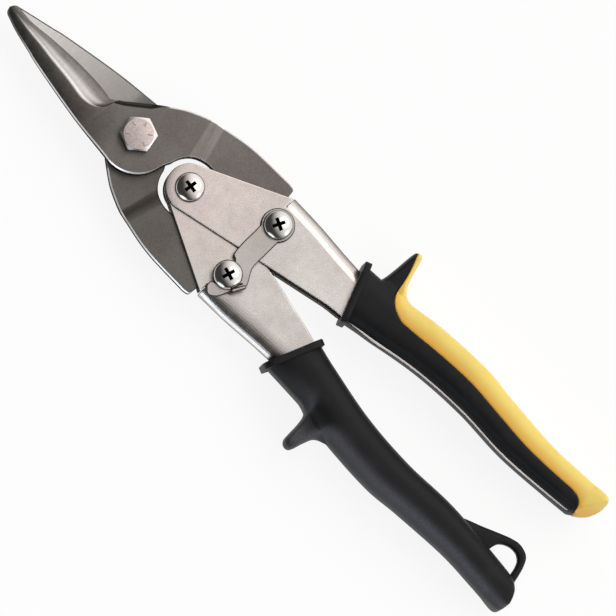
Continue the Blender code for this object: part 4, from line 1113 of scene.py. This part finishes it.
def makeScrew(name):
    # pan head: a straight rim, then an elliptic dome
    centre, seat, end, turn, body = seats[name]
    rim, rise, shank = fastener["screwRim"], fastener["screwRise"], fastener["screwShank"]
    dome = np.radians(np.linspace(0, 88, 22))
    profile = [(shank - 0.5, end, 0), (shank, end + 0.5, 0), (shank, seat, 0), (fastener["screwHead"] - 0.15, seat, 0),
               (fastener["screwHead"], seat + 0.15, 0)]
    profile += [(fastener["screwHead"] * math.cos(a), seat + rim + (rise - rim) * math.sin(a), 0) for a in dome]
    piece = addLoft(f"{name}_screw_pan", turnedRings(centre, profile), "bright_steel", 35)
    cutOut(piece, crossCutters(centre, seat + rise, turn), 25)
    # recess mark: 1 on the points that lie under the dome's own surface, where painted shade goes
    points = np.empty(3 * len(piece.data.vertices))
    piece.data.vertices.foreach_get("co", points)
    points = points.reshape(-1, 3) / mm - (*centre, midZ)
    reach = np.clip(np.hypot(points[:, 0], points[:, 1]) / fastener["screwHead"], 0, 1)
    under = seat + rim + (rise - rim) * np.sqrt(1 - reach**2) - points[:, 2]
    recess = np.clip((under - 0.05) / 0.35, 0, 1) * (points[:, 2] > seat + rim) * (reach < 0.7)
    piece.data.attributes.new("recess", "FLOAT", "POINT").data.foreach_set("value", recess)
    replaceNode(piece, f"{name}_screw", body)


def makeNut(name, node, body, centre, flats, hole, low, high, turn):
    # a hex ring with chamfered corners on its outer end, and a bored hole with a chamfer
    slope = fastener["crownSlope"]
    crown = fastener["crown"] / fastener["boltFlats"] * flats
    profile = [(hole, high, 0), (-1, high, 0), (-1, low, slope), (crown, low, 0), (hole + 0.35, low, 0),
               (hole, low + 0.35, 0), (hole, high, 0)]
    rings = turnedRings(centre, profile, flats, turn)
    count, size, _ = rings.shape
    piece = addPiece(name, rings.reshape(-1, 3), ringFaces(count, size), "bright_steel", 20)
    replaceNode(piece, node, body)


makeBolt()
for pinName in seats:
    makeScrew(pinName)
    pinAt, _, shankEnd, _, pinBody = seats[pinName]
    makeNut(f"{pinName}_nut_hex", f"{pinName}_nut", pinBody, pinAt, fastener["nutFlats"], fastener["nutHole"],
            shankEnd, shankEnd + fastener["nutThick"], fastener["nutTurn"])
makeNut("pivot_nut_hex", "pivot_nut", "front_jaw", pivotAt, fastener["boltFlats"], fastener["pivotNutHole"],
        fastener["boltEnd"], fastener["boltEnd"] + fastener["pivotNutThick"], fastener["pivotNutTurn"])
print("bolt, screws and nuts turned")


# Catch: a sheet latch on the upper pin, with a hook round the lower one and a tab bent up for the thumb
latch = {
    "low": 5.45, "thick": 1.2, "eye": 5.8, "seat": 3.9, "ramp": 23.4, "arm": 4.6, "hole": 2.7,
    # both edges are measured from the lower pin
    "rear": [(-4.1, -13.9), (-4.3, -7.5), (-7.1, -1.6), (-4.8, 2.9), (-2.6, 7.6), (0.2, 9.3), (2.6, 7.4)],
    "front": [(2.2, -5.6), (3.6, -6.6), (4.1, -10.9), (4.1, -16.4)],
    "tabFoot": (-6.9, -1.2), "tabLong": 5.0, "tabTop": 9.85, "tabAlong": (0.47, 0.88), "edgeRound": 0.36,
}


def makeCatch():
    # flat outline given its thickness by Solidify, its edges by Bevel; the tab's section is a path that
    # runs out of the plate and turns up, carried along the tab's length
    pin = lowerPinAt
    out, across = spokeAxes(math.radians(latch["ramp"]))
    arm = pin + latch["seat"] * across + latch["arm"] * out
    outline = np.vstack([circlePart(upperPinAt, latch["eye"], 45, -225, 60), pin + curveThrough(latch["rear"], 70),
                         [arm], circlePart(pin, latch["seat"], 90 + latch["ramp"], 275, 30),
                         pin + curveThrough(latch["front"], 16)])
    middle = latch["low"] + latch["thick"] / 2
    points = np.column_stack([outline, np.full(len(outline), middle)])
    piece = addPiece("catch_plate_cut", points, [list(range(len(points)))], "nickel_plate", 0)
    thicken(piece, latch["thick"], False)
    cutOut(piece, [roundCutter(upperPinAt, latch["hole"], 0, 20)], 0)
    along = np.array(latch["tabAlong"]) / np.linalg.norm(latch["tabAlong"])
    back = np.array([-along[1], along[0]])
    half, bend = latch["thick"] / 2, latch["thick"]
    turn = np.radians(np.linspace(0, 90, 9))
    outer = np.column_stack([(bend + half) * np.sin(turn), middle - half + (bend + half) * (1 - np.cos(turn))])
    inner = np.column_stack([(bend - half) * np.sin(turn), middle + half + (bend - half) * (1 - np.cos(turn))])
    section = np.vstack([[(-1.0, middle - half)], outer, [(bend + half, latch["tabTop"])],
                         [(bend - half, latch["tabTop"])], inner[::-1], [(-1.0, middle + half)]])
    foot = pin + np.array(latch["tabFoot"])
    rings = [np.column_stack([foot + along * step + back * section[:, :1] - back, section[:, 1]])
             for step in np.linspace(0, latch["tabLong"], 4)]
    tab = addLoft("catch_tab", rings, "nickel_plate", 0)
    joined = bmesh.new()
    joined.from_mesh(piece.data)
    joined.from_mesh(tab.data)
    joined.to_mesh(piece.data)
    joined.free()
    bpy.data.objects.remove(tab, do_unlink=True)
    piece.data.materials[0] = finishes["catch_steel"]
    # the rounded edges take the dark edge finish: painted shade along the gap round the catch's outline
    rollEdges(piece, latch["edgeRound"], 3, 1)
    replaceNode(piece, "catch_plate", "catch")


makeCatch()
print("catch cut and bent")


# Return spring: round wire wound about the hinge sleeve, with a leg along each tang
wire = {"thick": 1.1, "radius": 5.6, "turns": 2.5, "leg": 15.0, "rise": 1.35}


def makeSpring():
    # the path is a helix with a straight leg at both ends; rings of the wire stand square to it
    turn = np.linspace(0, 2 * math.pi * wire["turns"], 141) - math.pi / 2
    rise = wire["rise"] * np.linspace(-1, 1, len(turn))
    coil = np.column_stack([hingeAt[0] + wire["radius"] * np.cos(turn), wire["radius"] * np.sin(turn), rise])
    legs = np.linspace(1, 0.08, 14)[:, None]
    path = np.vstack([coil[0] + legs * (-wire["leg"], -0.3, 0), coil, coil[-1] + legs[::-1] * (-wire["leg"], 0.3, 0)])
    ahead = np.gradient(path, axis=0)
    ahead /= np.linalg.norm(ahead, axis=1)[:, None]
    across = np.cross(ahead, (0, 0, 1))
    across /= np.linalg.norm(across, axis=1)[:, None]
    up = np.cross(across, ahead)
    angle = np.arange(14) * 2 * np.pi / 14
    rings = path[:, None] + wire["thick"] / 2 * (np.cos(angle)[None, :, None] * across[:, None]
                                                 + np.sin(angle)[None, :, None] * up[:, None])
    piece = addLoft("return_spring_wound", rings, "spring_steel", 40)
    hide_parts("return_spring")
    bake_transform(piece)


makeSpring()
print("spring wound")
